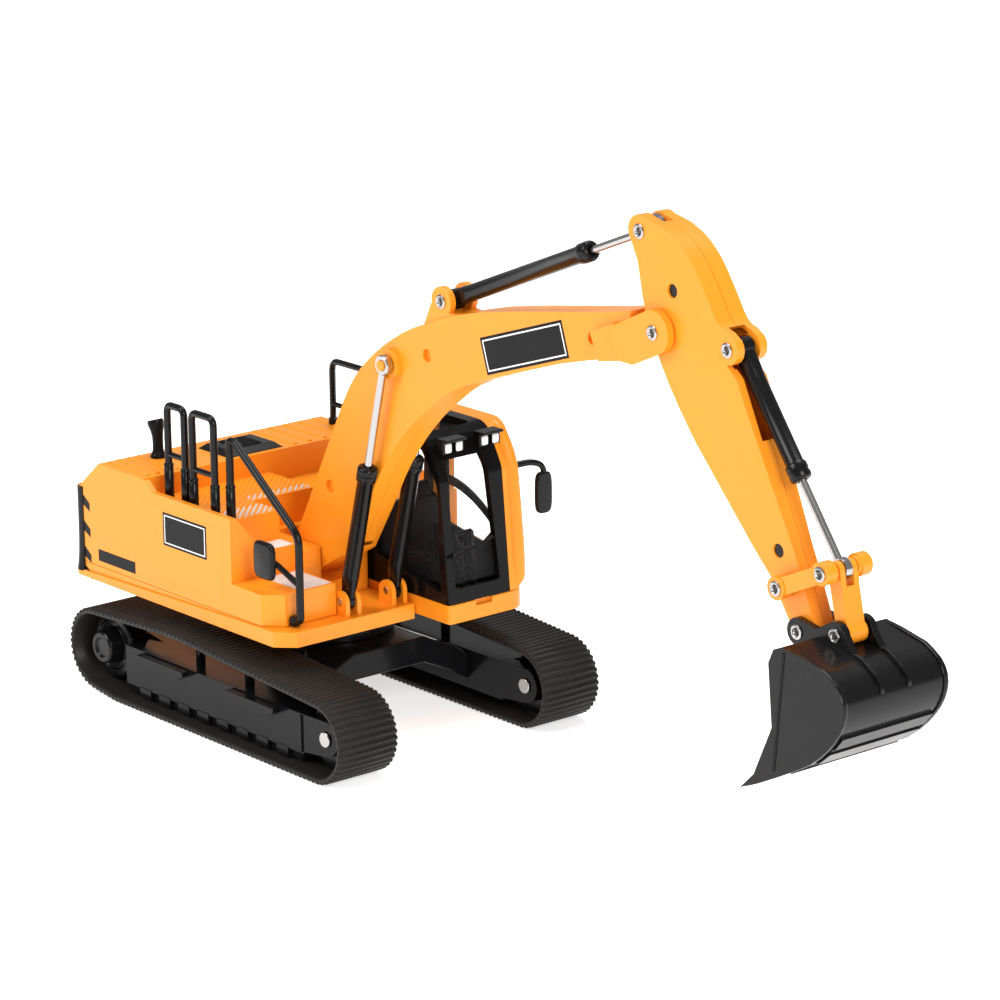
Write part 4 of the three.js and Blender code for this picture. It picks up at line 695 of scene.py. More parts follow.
# The two walkways by the ending of their pieces' names, with the length of the silver print at their front.
WALKWAYS = {"": (WALKWAY, 8.0), "_inner": (BEHIND_BOOM, 3.5)}
CHEQUER = {"margin": 0.5, "pitch": 1.15, "width": 0.55, "height": 0.22}
RIDGES_RIGHT = {"hood_back": -63.0, "front": -36.0, "from": -38.2, "to": -27.8, "count": 4}
RIDGES_LEFT = {"hood_back": -63.0, "front": -35.6, "from": 15.5, "to": 38.0, "count": 5}
HOOD_RIDGE = {"back": -56.0, "sunk": 0.1, "width": 1.9, "height": 0.55}
TEETH = {"from": -36.0, "to": 3.0, "pitch": 2.1, "front": 31.6, "length": 5.0, "sunk": 0.05, "width": 1.3,
         "height": 0.7}
LOUVRES = {"count": 9, "ends": 3.6, "sides": 5.5, "sunk": 0.05, "width": 0.6, "height": 0.4}
SIDE_PANEL = {"back": -34.5, "front": 4.5, "bottom": 40.5, "top": 62.5}
LABEL = {"back": -24.6, "front": -3.2, "bottom": 51.6, "top": 61.6}
SMALL_LABEL = {"back": -58.5, "front": -39.5, "bottom": 39.3, "top": 42.9}
KEYLINE = {"inset": 0.7, "width": 0.35}
CHEVRONS = {"back": -66.6, "front": -62.4, "top": 59.0, "height": 3.3, "drop": 2.2, "pitch": 8.0,
            "count": 4}
CORNER_TRIM = {"bottom": 34.6, "top": 60.6, "side": 2.8, "tail": 3.0, "rise": 0.35, "flare": 0.8}


def from_slew(x):
    """World X of a place given forward of the slew axis."""
    return SLEW[0] + x


def diagonal_lines(back, front, right, left, pitch):
    """Parallel lines x + y = c over a rectangle, cut at its edges."""
    c = np.arange(back + right + pitch, front + left - pitch / 2, pitch * math.sqrt(2))
    y0 = np.maximum(right, c - front)
    y1 = np.minimum(left, c - back)
    return np.stack([c - y0, y0], -1), np.stack([c - y1, y1], -1)


def slanted_ridges(back, front, right, left):
    """Rounded ridges at 45 degrees over a rectangle of a floor of the house."""
    fine = sizes()
    z = top_of("body_shell", from_slew((back + front) / 2), (right + left) / 2)
    starts, ends = diagonal_lines(back, front, right, left, fine.tread_pitch)
    lift = lambda p: np.column_stack([p[:, 0] + SLEW[0], p[:, 1], np.full(len(p), z)])
    return rounded_bars(lift(starts), lift(ends), ALONG_Z, fine.tread_width, fine.tread_height)


def chequer(back, front, right, left):
    """Two crossing sets of fine ridges over a rectangle, on top of a printed film."""
    fine = sizes()
    z = top_of("body_shell", from_slew((back + front) / 2), (right + left) / 2)
    film = sheet([(from_slew(back), right, z), (from_slew(front), right, z),
                  (from_slew(front), left, z), (from_slew(back), left, z)], ALONG_Z, fine.decal_rise)
    x = np.arange(from_slew(back) + CHEQUER["margin"], from_slew(front), CHEQUER["pitch"])
    y = np.arange(right + CHEQUER["margin"], left, CHEQUER["pitch"])
    level = z + fine.decal_rise
    width, height = CHEQUER["width"], CHEQUER["height"]
    lengthwise = [[(from_slew(end), v, level) for v in y] for end in (back, front)]
    crosswise = [[(v, end, level) for v in x] for end in (right, left)]
    bars = (rounded_bars(*ends, ALONG_Z, width, height) for ends in (lengthwise, crosswise))
    return joined(film, *bars)


def hood_ridges(strip):
    """Long low ridges along a strip of the hood, from a common line at their back."""
    front = from_slew(strip["front"])
    y = np.linspace(strip["from"], strip["to"], strip["count"])
    middle_x = (from_slew(strip["hood_back"]) + front) / 2
    z = top_of("body_shell", middle_x, strip["from"]) - HOOD_RIDGE["sunk"]
    starts, ends = ([(x, v, z) for v in y] for x in (from_slew(HOOD_RIDGE["back"]), front))
    return rounded_bars(starts, ends, ALONG_Z, HOOD_RIDGE["width"], HOOD_RIDGE["height"])


def side_film(place, outward, lift=0.0):
    """A flat film on the right wall of the house, or on the left one."""
    y = side_face("body_shell", outward) + outward * lift
    back, front = from_slew(place["back"]), from_slew(place["front"])
    bottom, top = place["bottom"], place["top"]
    corners = [(back, y, bottom), (front, y, bottom), (front, y, top), (back, y, top)]
    return sheet(corners, ALONG_Y * outward, sizes().decal_rise)


def frame_strips(left, right, bottom, top, line):
    """Four strips (left, right, bottom, top) that frame a rectangle from inside."""
    return [
        (left, right, bottom, bottom + line),
        (left, right, top - line, top),
        (left, left + line, bottom + line, top - line),
        (right - line, right, bottom + line, top - line),
    ]


def keyline(place, outward, lift):
    """A thin printed frame just inside the edge of a label: four narrow films."""
    sides = {"back": 1, "front": -1, "bottom": 1, "top": -1}
    rim = [place[key] + sign * KEYLINE["inset"] for key, sign in sides.items()]
    strips = [dict(zip(sides, strip)) for strip in frame_strips(*rim, KEYLINE["width"])]
    return joined(*(side_film(strip, outward, lift) for strip in strips))


def chevrons(outward):
    """Slanted flags down the rear of a wall of the house."""
    y = side_face("body_shell", outward)
    mark = CHEVRONS
    flags = []
    for n in range(mark["count"]):
        top = mark["top"] - n * mark["pitch"]
        bottom = max(top - mark["height"], CORNER_TRIM["bottom"] + mark["drop"])
        corners = [
            (from_slew(mark["back"]), y, top),
            (from_slew(mark["back"]), y, bottom),
            (from_slew(mark["front"]), y, bottom - mark["drop"]),
            (from_slew(mark["front"]), y, top - mark["drop"] - mark["height"] * 0.2),
        ]
        flags.append(sheet(corners, ALONG_Y * outward, sizes().decal_rise))
    return joined(*flags)


def corner_trim(outward):
    """A black strip round the rear corner. At each height its section follows the side wall, the corner
    and the tail's arc, and stands proud by rise + flare * (1 - height)^6."""
    trim = CORNER_TRIM
    half = abs(box("body_shell")[0][1])
    tail = SLEW[0] - box("body_shell")[0][0]
    turn = math.asin(half / tail)
    corner = np.array([SLEW[0] - tail * math.cos(turn), half])
    on_side = corner + np.array([trim["side"], 0.0])
    angles = turn - np.linspace(0, trim["tail"] / tail, 5)
    on_tail = np.stack([SLEW[0] - tail * np.cos(angles), tail * np.sin(angles)], -1)
    path = np.concatenate([np.linspace(on_side, corner, 4)[:-1], on_tail])
    path[1:-1] = (path[:-2] + 2 * path[1:-1] + path[2:]) / 4
    tangent = unit(np.gradient(path, axis=0))
    normal = np.stack([tangent[:, 1], -tangent[:, 0]], -1)
    normal *= np.sign((normal * (path - [SLEW[0], 0])).sum(-1, keepdims=True))
    share = np.linspace(0, 1, 14)
    proud = trim["rise"] + trim["flare"] * (1 - share) ** 6
    taper = np.sin(np.linspace(0.25, np.pi - 0.25, len(path))) ** 0.4
    outer = path[None] + normal[None] * (proud[:, None] * taper[None])[..., None]
    inner = path[None, ::-1] - 0.6 * normal[None, ::-1] + 0 * outer
    ring = np.concatenate([outer, inner], axis=1)
    z = trim["bottom"] + share * (trim["top"] - trim["bottom"])
    height = np.broadcast_to(z[:, None, None], (*ring.shape[:2], 1))
    grid = np.concatenate([ring[..., :1], outward * ring[..., 1:], height], -1)
    return shell(grid)


def deck_teeth():
    """A row of small rounded teeth under the front edge of the deck."""
    y = np.arange(TEETH["from"], TEETH["to"], TEETH["pitch"])
    z = box("deck_plate")[0][2] + TEETH["sunk"]
    front = from_slew(TEETH["front"])
    starts, ends = ([(x, v, z) for v in y] for x in (front, front - TEETH["length"]))
    return rounded_bars(starts, ends, -ALONG_Z, TEETH["width"], TEETH["height"])


# The exhaust's outside and then its bore, as (share of its height, radius). Above LEAN["from"] it leans
# back, and above MOUTH["from"] it is cut on a slant.
STACK = (
    (0, 2.3), (0.02, 2.4), (0.06, 2.3), (0.1, 1.95), (0.14, 1.75), (0.2, 1.65), (0.35, 1.6),
    (0.5, 1.65), (0.62, 1.85), (0.74, 2.2), (0.84, 2.45), (0.93, 2.4), (0.97, 2.25),
    (0.96, 2.0), (0.9, 2.05), (0.75, 1.8), (0.6, 1.3),
)
STACK_FOOT = 2.4
LEAN = {"from": 0.45, "power": 1.3, "reach": 2.6}
MOUTH = {"from": 0.7, "slant": 2.6, "drop": 0.7}


def flared_stack():
    """An exhaust pipe: circles along a route that leans back near its end. Their radius grows towards a
    slanted mouth, and the surface turns in and runs back down as the bore."""
    low, high = box("exhaust_stack")
    foot = np.array([high[0] - STACK_FOOT, (low[1] + high[1]) / 2, low[2]])
    s, radius = np.array(STACK, float).T
    cos, sin = full_turn(32)
    lean = np.maximum(s - LEAN["from"], 0) ** LEAN["power"] * LEAN["reach"]
    opened = np.maximum(s - MOUTH["from"], 0)[:, None] * MOUTH["slant"]
    x = foot[0] - lean[:, None] + radius[:, None] * cos
    y = foot[1] + radius[:, None] * sin
    z = foot[2] + (s * (high[2] - low[2]))[:, None] + opened * (cos - MOUTH["drop"])
    return shell(np.stack([x, y, z], -1))


def vent_louvres():
    """Fine slats across the top of the hood vent."""
    low, high = box("hood_vent")
    x = np.linspace(low[0] + LOUVRES["ends"], high[0] - LOUVRES["ends"], LOUVRES["count"])
    z = high[2] - LOUVRES["sunk"]
    starts, ends = ([(v, y, z) for v in x] for y in (low[1] + LOUVRES["sides"], high[1] - LOUVRES["sides"]))
    return rounded_bars(starts, ends, ALONG_Z, LOUVRES["width"], LOUVRES["height"])


class EXCAVATOR_OT_house(bpy.types.Operator):
    """Make the deck, the body shell and what stands on it"""

    bl_idname = "excavator.house"
    bl_label = "House"

    def execute(self, context):
        fine = sizes()
        softened("deck_plate", finish("yellow"), fine.panel_round * 0.7, 3)
        softened("body_shell", finish("yellow"), fine.panel_round, 3)
        softened("hood_vent", finish("black"), fine.small_round)
        piece("flared_stack", flared_stack(), finish("matt"), "house",
              ["exhaust_stack"], smooth_angle=60.0)
        piece("vent_louvres", vent_louvres(), finish("matt"), "house")
        for node in ("lift_base_pin_right", "lift_base_pin_left"):
            softened(node, finish("steel"), fine.small_round)
        piece("boom_foot_pin_turned", dished_pin("boom_foot_pin"), finish("steel"), "house",
              ["boom_foot_pin"])
        return {"FINISHED"}


class EXCAVATOR_OT_house_details(bpy.types.Operator):
    """Make the ridges, treads, trims and films of the house"""

    bl_idname = "excavator.house_details"
    bl_label = "House details"

    def execute(self, context):
        plain, printed = {}, {}
        for ending, (place, silver) in WALKWAYS.items():
            line = place["front"] - silver
            plain[f"walkway_ridges{ending}"] = slanted_ridges(**{**place, "front": line})
            printed[f"walkway_print{ending}"] = slanted_ridges(**{**place, "back": line})
        plain["hood_ridges_right"] = hood_ridges(RIDGES_RIGHT)
        plain["hood_ridges_left"] = hood_ridges(RIDGES_LEFT)
        for side, outward in SIDES.items():
            plain[f"side_panel_{side}"] = side_film(SIDE_PANEL, outward)
        plain["deck_teeth"] = deck_teeth()
        printed["step_print"] = chequer(**STEP)
        printed["platform_print"] = chequer(**PLATFORM)
        for key, surfaces in (("yellow", plain), ("silver", printed)):
            for name, surface in surfaces.items():
                piece(name, surface, finish(key), "house")
        for side, outward in SIDES.items():
            piece(f"chevrons_{side}", chevrons(outward), finish("film"), "house")
            piece(f"corner_trim_{side}", corner_trim(outward), finish("matt"), "house",
                  smooth_angle=50.0)
            lift = sizes().decal_rise
            piece(f"label_{side}", side_film(LABEL, outward, lift), finish("film"), "house")
            piece(f"label_line_{side}", keyline(LABEL, outward, 2 * lift), finish("lens"), "house")
            piece(f"small_label_{side}", side_film(SMALL_LABEL, outward), finish("film"), "house")
        return {"FINISHED"}


# ---------------------------------------------------------------- rails and cab

RAIL = {"radius": 1.1, "leg": 1.4, "bend": 2.4}
MIDDLE_BAR = {"above_collar": 2.6, "radius": 0.85}


def leg_with_collar(x, y, foot, top):
    """A straight leg thicker than the rail, with a shallow groove and a softened top."""
    radius, height = RAIL["leg"], top - foot
    profile = [
        (0, 0.0), (0, radius - 0.1), (0.15, radius),
        (height - 1.7, radius), (height - 1.6, radius - 0.14), (height - 1.4, radius - 0.14),
        (height - 1.3, radius + 0.04), (height - 0.3, radius + 0.04),
        (height, RAIL["radius"]), (height, 0.0),
    ]
    return lathe((x, y, foot), ALONG_Z, profile, 24)


def hoop(node, collar_share):
    """A hoop of round rail on two legs, with a bar between them."""
    low, high = box(node)
    radius, leg = RAIL["radius"], RAIL["leg"]
    x0, x1, y = low[0] + leg, high[0] - leg, (low[1] + high[1]) / 2
    top, foot = high[2] - radius, low[2]
    route = rounded_route([(x0, y, foot), (x0, y, top), (x1, y, top), (x1, y, foot)], RAIL["bend"], 8)
    collar = foot + collar_share * (top - foot)
    level = collar + MIDDLE_BAR["above_collar"]
    middle_bar = np.array([(x, y, level) for x in (x0, (x0 + x1) / 2, x1)], float)
    legs = (leg_with_collar(x, y, foot, collar) for x in (x0, x1))
    return joined(tube(route, radius, 20), tube(middle_bar, MIDDLE_BAR["radius"], 16), *legs)


def front_rail():
    """The long front rail: up from the walkway, down over the steps to the deck, with a mirror on a
    bent arm. The mirror's head is a cushion: a superellipse in outline, thinned towards its rim."""
    low, high = box("handrail_front")
    radius = 1.15
    y = high[1] - RAIL["leg"]
    rear, front = low[0] + RAIL["leg"], high[0] - radius
    knee = low[2] + 26.6
    walk = top_of("body_shell", rear, y) + 0.15
    deck = low[2]
    route = rounded_route([
        (rear, y, walk), (rear, y, high[2] - radius), (rear + 2.6, y, high[2] - radius),
        (front, y, knee), (front, y, deck + 1.6), (front - 2.6, y, deck + 1.4),
    ], 3.2, 8)
    arm = rounded_route([
        (front, y, knee - 14.5), (front - 4.0, y - 1.0, knee - 12.0), (front - 8.0, y - 3.0, knee - 8.5),
        (front - 10.6, y - 3.6, knee - 8.2),
    ], 2.6, 6)
    head = np.array([front - 10.9, low[1], knee - 8.5])
    socket = [(0, 0.0), (0, 1.5), (0.2, 1.7), (2.0, 1.7), (2.5, 1.3), (2.5, 0.0)]
    return joined(
        tube(route, radius, 20),
        leg_with_collar(rear, y, walk, walk + 10.0),
        lathe((front - 2.6, y, deck), ALONG_Z, socket, 24),
        tube(arm, np.linspace(0.95, 0.8, len(arm)), 16),
        loft(head, ALONG_Y, ALONG_Z, [
            (0.0, 3.6, 4.6, 5), (0.12, 4.1, 5.1, 5), (0.5, 4.5, 5.5, 5), (1.4, 4.5, 5.5, 5),
            (1.8, 4.2, 5.2, 5), (2.0, 3.7, 4.7, 5),
        ], 40),
    )


class EXCAVATOR_OT_rails(bpy.types.Operator):
    """Make the handrails"""

    bl_idname = "excavator.rails"
    bl_label = "Handrails"

    def execute(self, context):
        surfaces = {
            "handrail_rear": hoop("handrail_rear", 0.4),
            "handrail_middle": hoop("handrail_middle", 0.33),
            "handrail_front": front_rail(),
        }
        for node, surface in surfaces.items():
            piece(f"{node}_round", surface, finish("black"), "house", [node],
                  smooth_angle=60.0)
        softened("handrail_left", finish("black"), sizes().small_round, segments=1, turn=60.0)
        return {"FINISHED"}


PILLAR_RADIUS = 2.3


def cab_pillar():
    """The round front pillar: from the sill up the front left corner and over on to the roof."""
    low, high = box("cab_shell")
    radius = PILLAR_RADIUS
    y = high[1] - radius + 0.35
    front, roof = high[0] - radius + 0.6, high[2] - radius + 0.5
    route = rounded_route([
        (front - 1.2, y - 1.6, low[2] + 1.6), (front + 0.1, y, low[2] + 3.0),
        (front, y, low[2] + 12.0), (front - 2.9, y, roof - 9.0),
        (front - 8.0, y - 0.6, roof - 0.3), (front - 14.0, y - 1.2, roof - 0.6),
    ], 6.0, 8)
    radii = np.full(len(route), radius)
    radii[[0, -1]] = radius * 0.55
    return tube(route, radii, 28)


def lamp_lenses(node):
    """Two square lenses on the front of a lamp bar, each a low cushion."""
    low, high = box(node)
    surfaces = []
    for share in (0.24, 0.76):
        y = low[1] + share * (high[1] - low[1])
        start = (high[0] - 1.65, y, low[2] + 1.75)
        surfaces.append(loft(start, ALONG_X, ALONG_Z, [
            (0.0, 1.15, 1.35, 6), (0.2, 1.15, 1.35, 6), (0.35, 0.95, 1.15, 5), (0.42, 0.5, 0.6, 3),
        ], 24))
    return joined(*surfaces)


def side_mirror():
    """The left mirror: a bent round arm, and a head that is thick at its back and flat on its glass."""
    low, high = box("mirror_left")
    x = high[0] - 1.4
    top = high[2] - 0.95
    arm = rounded_route([
        (x - 2.2, low[1] + 0.1, top - 0.4), (x - 1.0, low[1] + 4.5, top),
        (x - 0.2, low[1] + 8.4, top - 1.4), (x, low[1] + 8.9, top - 5.5),
    ], 4.0, 8)
    centre = np.array([x - 1.2, high[1] - 2.9, low[2] + 6.2])
    return joined(
        tube(arm, np.linspace(1.0, 0.85, len(arm)), 18, ALONG_Z + 0.01 * ALONG_X),
        loft(centre, ALONG_X, ALONG_Z, [
            (0.0, 1.6, 5.0, 4), (0.15, 2.3, 5.7, 4), (0.6, 2.8, 6.2, 4), (1.8, 2.8, 6.2, 4),
            (2.1, 2.6, 6.0, 4), (2.15, 2.2, 5.6, 4),
        ], 36),
    )


def door_liner():
    """The black lining inside the door: a frame and a curved rail across it. Each is an outline given
    its thickness across the cab, and the rail falls forward by 10 * share^2."""
    low, high = box("cab_shell")
    sill = box("cab_base")[1][2]
    inner, outer = high[1] - 4.2, high[1] - 3.4
    back, front, roof = low[0] + 3.2, high[0] - 3.4, box("cab_glazing")[1][2] - 1.6
    window_back, window_front = low[0] + 7.4, high[0] - 9.0
    slope = [(front - 1.6, roof - 12.0), (front - 9.0, roof)]
    outline = np.array([(back, sill), (front, sill), *slope, (back, roof)])
    hole = np.array([
        (window_back, sill + 14.0),
        (window_front - 6.0, sill + 11.2),
        (window_front, sill + 17.0),
        (window_front - 3.6, roof - 6.0),
        (window_back, roof - 4.0),
    ])
    rings = [(outline, inner), (outline, outer), (hole, outer), (hole, inner)]
    grid = np.stack([np.insert(ring, 1, y, axis=1) for ring, y in rings])
    frame_ring = shell(grid, loop_u=True)
    steps, half = 16, 1.3
    share = np.linspace(0, 1, steps)
    x = window_back - 1.5 + share * (window_front - window_back + 2.0)
    z = sill + 27.0 - 10.0 * share**2
    y, rise = np.array([(inner, -half), (outer, -half), (outer, half), (inner, half)]).T
    rail = np.stack(np.broadcast_arrays(x[:, None], y, z[:, None] + rise), -1)
    return joined(frame_ring, shell(rail))


def rounded_rectangle(low, high, radius, steps=6):
    """Points round a rectangle in plan whose corners are quarter circles."""
    turns = np.linspace(0.0, math.pi / 2, steps)
    centres = (
        (high[0] - radius, high[1] - radius),
        (low[0] + radius, high[1] - radius),
        (low[0] + radius, low[1] + radius),
        (high[0] - radius, low[1] + radius),
    )
    corners = []
    for quarter, centre in enumerate(centres):
        angle = turns + quarter * math.pi / 2
        corners.append(np.column_stack([np.cos(angle), np.sin(angle)]) * radius + centre)
    return np.concatenate(corners)


def cab_mat():
    """A black tray over the cab's floor: its rim rises along the walls to the sill."""
    low, high = box("cab_base")
    floor = box("driver_seat")[0][2] + 0.01
    inset, radius, wall, rim = 2.5, 3.6, 0.5, 0.1
    outer = rounded_rectangle(low[:2] + inset, high[:2] - inset, radius)
    inner = rounded_rectangle(low[:2] + inset + wall, high[:2] - inset - wall, radius - wall)
    rings = [(outer, floor), (outer, high[2] - rim), (inner, high[2] - rim), (inner, floor + wall)]
    grid = np.stack([np.insert(ring, 2, z, axis=1) for ring, z in rings])
    return shell(grid)


class EXCAVATOR_OT_cab(bpy.types.Operator):
    """Make the cab and what is in and on it"""

    bl_idname = "excavator.cab"
    bl_label = "Cab"

    def execute(self, context):
        fine = sizes()
        softened("cab_base", finish("yellow"), fine.beam_round, 3)
        softened("cab_shell", finish("yellow"), fine.beam_round, 3)
        softened("cab_frame", finish("gloss"), fine.beam_round * 0.8, 3)
        softened("cab_glazing", clear_plastic(), fine.small_round)
        softened("driver_seat", finish("matt"), fine.beam_round)
        softened("control_console", finish("matt"), fine.small_round)
        softened("wiper", finish("matt"), 0.1, segments=1)
        piece("cab_front_pillar", cab_pillar(), finish("yellow"), "house",
              smooth_angle=60.0)
        piece("door_liner", door_liner(), finish("matt"), "house")
        piece("cab_mat", cab_mat(), finish("matt"), "house")
        for node in ("lamp_bar_right", "lamp_bar_left"):
            softened(node, finish("black"), fine.small_round)
            piece(f"{node}_lenses", lamp_lenses(node), finish("lens"), "house")
        piece("mirror_left_round", side_mirror(), finish("black"), "house",
              ["mirror_left"], smooth_angle=60.0)
        return {"FINISHED"}


# ---------------------------------------------------------------- boom, arm and bucket

PINS = (
    "arm_pivot_pin",
    "arm_cylinder_base_pin",
    "arm_cylinder_rod_pin",
    "bucket_cylinder_base_pin",
    "rocker_pin",
    "bucket_pivot_pin",
    "bucket_link_pin",
)

# A blank black label on each side of the boom: its middle before and above the arm's pivot, its size
# and its tilt up towards the front.
BOOM_LABEL = {"before": 54.5, "above": -14.2, "length": 36.0, "height": 10.4, "tilt": math.radians(18.0)}
BOOM_KEYLINE = {"inset": 0.8, "width": 0.4}


def boom_label(outward, line=0.0, inset=0.0):
    """A film on the boom's side: a whole rectangle, or only its four edge lines when line is given."""
    pin = pivot("arm_swing")
    cos, sin = math.cos(BOOM_LABEL["tilt"]), math.sin(BOOM_LABEL["tilt"])
    along, across = np.array([cos, 0.0, sin]), np.array([-sin, 0.0, cos])
    face = BOOM_LINE + outward * (sizes().boom_half + (sizes().decal_rise if line else 0.0))
    centre = np.array([pin[0] - BOOM_LABEL["before"], face, pin[2] + BOOM_LABEL["above"]])
    u, v = BOOM_LABEL["length"] / 2 - inset, BOOM_LABEL["height"] / 2 - inset
    boxes = frame_strips(-u, u, -v, v, line) if line else [(-u, u, -v, v)]
    films = []
    for left, right, bottom, top in boxes:
        places = [(left, bottom), (right, bottom), (right, top), (left, top)]
        corners = [centre + along * a + across * b for a, b in places]
        films.append(sheet(corners, ALONG_Y * outward, sizes().decal_rise))
    return joined(*films)


class EXCAVATOR_OT_front_end(bpy.types.Operator):
    """Make the boom, the arm and the bucket linkage"""

    bl_idname = "excavator.front_end"
    bl_label = "Boom and arm"

    def execute(self, context):
        fine = sizes()
        for node in ("boom_half_right", "boom_half_left", "arm_half_right", "arm_half_left"):
            softened(node, finish("yellow"), fine.beam_round, 3)
        for node in ("rocker_right", "rocker_left", "bucket_link"):
            softened(node, finish("yellow"), fine.small_round * 1.5)
        for node in ("arm_screw_upper", "arm_screw_lower"):
            softened(node, finish("black"), fine.small_round)
        for side, outward in SIDES.items():
            rim = boom_label(outward, BOOM_KEYLINE["width"], BOOM_KEYLINE["inset"])
            piece(f"boom_label_{side}", boom_label(outward), finish("film"), "boom")
            piece(f"boom_label_line_{side}", rim, finish("lens"), "boom")
        return {"FINISHED"}


BUCKET_RIM = {"width": 1.5, "rise": 0.45, "past_side": 0.02, "from": 0.02, "to": 0.97, "steps": 160}
WEAR_STRIPS = ((0.52, 0.60), (0.64, 0.71), (0.75, 0.86))
HANGER_RIB = {"aside": 4.75, "half": 0.6, "rise": 1.0, "from": 0.1, "to": 0.33}
BACK_STEPS = 400
# A place inside the bucket, from its hinge.
INSIDE = (10.0, -15.0)


def bucket_back():
    """The outer line of the bucket from the top of its back round to its lip, at equal steps, with its
    outward direction: the part of the side outline that lies behind the mouth."""
    outline = side_outline("bucket", box("bucket")[0][1])
    hinge = middle("bucket_pivot_pin")[[0, 2]]
    lip = outline[np.argmin(outline[:, 1])]
    top = outline[np.argmax(outline[:, 1] + 0.02 * outline[:, 0])]
    outline = np.roll(outline, -int(np.argmin(np.linalg.norm(outline - top, axis=1))), axis=0)
    cut = int(np.argmin(np.linalg.norm(outline - lip, axis=1)))
    forward, backward = outline[: cut + 1], np.concatenate([outline[:1], outline[:cut - 1:-1]])
    line = max((forward, backward), key=lambda part: part[:, 0].max() + part[:, 0].mean())
    points = even_steps(line, BACK_STEPS)[0]
    points[1:-1] = (points[:-2] + 2 * points[1:-1] + points[2:]) / 4
    tangent = unit(np.gradient(points, axis=0))
    outward = np.stack([-tangent[:, 1], tangent[:, 0]], -1)
    outward *= np.sign((outward * (points - hinge - INSIDE)).sum(-1).mean())
    return points, outward


def back_band(first, last, y0, y1, rise, count=60):
    """A raised band on the bucket's back between two shares of its line: the line moved out by
    rise * sqrt(min(1, 14 * share from either end)), given a width, and closed underneath."""
    points, outward = bucket_back()
    pick = (np.linspace(first, last, count) * (BACK_STEPS - 1)).round().astype(int)
    line, out = points[pick], outward[pick]
    share = np.linspace(0, 1, count)
    swell = rise * np.clip(np.minimum(share, 1 - share) * 14, 0, 1) ** 0.5
    soft = min(0.2, abs(y1 - y0) / 6)
    y = np.array([y0, y0, y0 + soft, y1 - soft, y1, y1])
    lift = np.stack([0 * swell - 0.3, swell * 0.7, swell, swell, swell * 0.7, 0 * swell - 0.3], -1)
    flat = line[:, None, :] + out[:, None, :] * lift[..., None]
    grid = np.stack([flat[..., 0], np.broadcast_to(y, lift.shape), flat[..., 1]], -1)
    return shell(grid)


def side_rib(outward):
    """An upright rib on a side of the bucket, from its top corner to its floor."""
    y = side_face("bucket", outward)
    hinge = middle("bucket_pivot_pin")
    start = (hinge[0] + 8.6, y, hinge[2] - 1.0)
    end = (hinge[0] + 5.2, y, hinge[2] - 33.0)
    return rounded_bars([start], [end], ALONG_Y * outward, 0.8, 0.5)


class EXCAVATOR_OT_bucket(bpy.types.Operator):
    """Make the bucket and its ribs"""

    bl_idname = "excavator.bucket"
    bl_label = "Bucket"

    def execute(self, context):
        softened("bucket", finish("black"), sizes().small_round * 1.5, 3)
        low, high = box("bucket")
        width, rise, past = BUCKET_RIM["width"], BUCKET_RIM["rise"], BUCKET_RIM["past_side"]
        rims = ((low[1] - past, low[1] + width), (high[1] - width, high[1] + past))
        ribs = [
            back_band(BUCKET_RIM["from"], BUCKET_RIM["to"], *rim, rise, BUCKET_RIM["steps"]) for rim in rims
        ]
        for first, last in WEAR_STRIPS:
            ribs.append(back_band(first, last, low[1] + width + 1.2, high[1] - width - 1.2, rise * 0.8))
        for outward in SIDES.values():
            y, half = BOOM_LINE + outward * HANGER_RIB["aside"], HANGER_RIB["half"]
            ends = HANGER_RIB["from"], HANGER_RIB["to"]
            ribs.append(back_band(*ends, y - half, y + half, HANGER_RIB["rise"]))
            ribs.append(side_rib(outward))
        piece("bucket_ribs", joined(*ribs), finish("black"), "bucket",
              smooth_angle=45.0)
        return {"FINISHED"}


# Each cylinder: the pin at its base, the pin or joint at its rod's eye, the length of its barrel,
# and the outer and inner radius of the rod's eye.
CYLINDERS = {
    "lift_right": ("lift_base_pin_right", "lift_rod_right_tilt", 43.5, 2.9, 1.65),
    "lift_left": ("lift_base_pin_left", "lift_rod_left_tilt", 43.5, 2.9, 1.65),
    "arm": ("arm_cylinder_base_pin", "arm_cylinder_rod_pin", 62.5, 3.9, 2.9),
    "bucket": ("bucket_cylinder_base_pin", "bucket_rod_tilt", 38.0, 2.9, 1.6),
}
BARREL = {"radius": 2.4, "collar": 2.9, "collar_length": 4.5, "neck": 8.0, "eye": 2.9}
ROD = {"radius": 1.1, "hidden_share": 0.55}


def cylinder_nodes(name):
    """The names of a cylinder's barrel and rod."""
    first, _, side = name.partition("_")
    ending = f"_{side}" if side else ""
    return f"{first}_barrel{ending}", f"{first}_rod{ending}"


def cylinder_line(name):
    """Where a cylinder's two eyes are, and the direction from its base to its rod's eye."""
    base_pin, eye_pin = CYLINDERS[name][:2]
    base = middle(base_pin)
    eye = middle(eye_pin) if eye_pin.endswith("pin") else pivot(eye_pin)
    eye = np.array([eye[0], base[1], eye[2]])
    return base, eye, unit(eye - base)


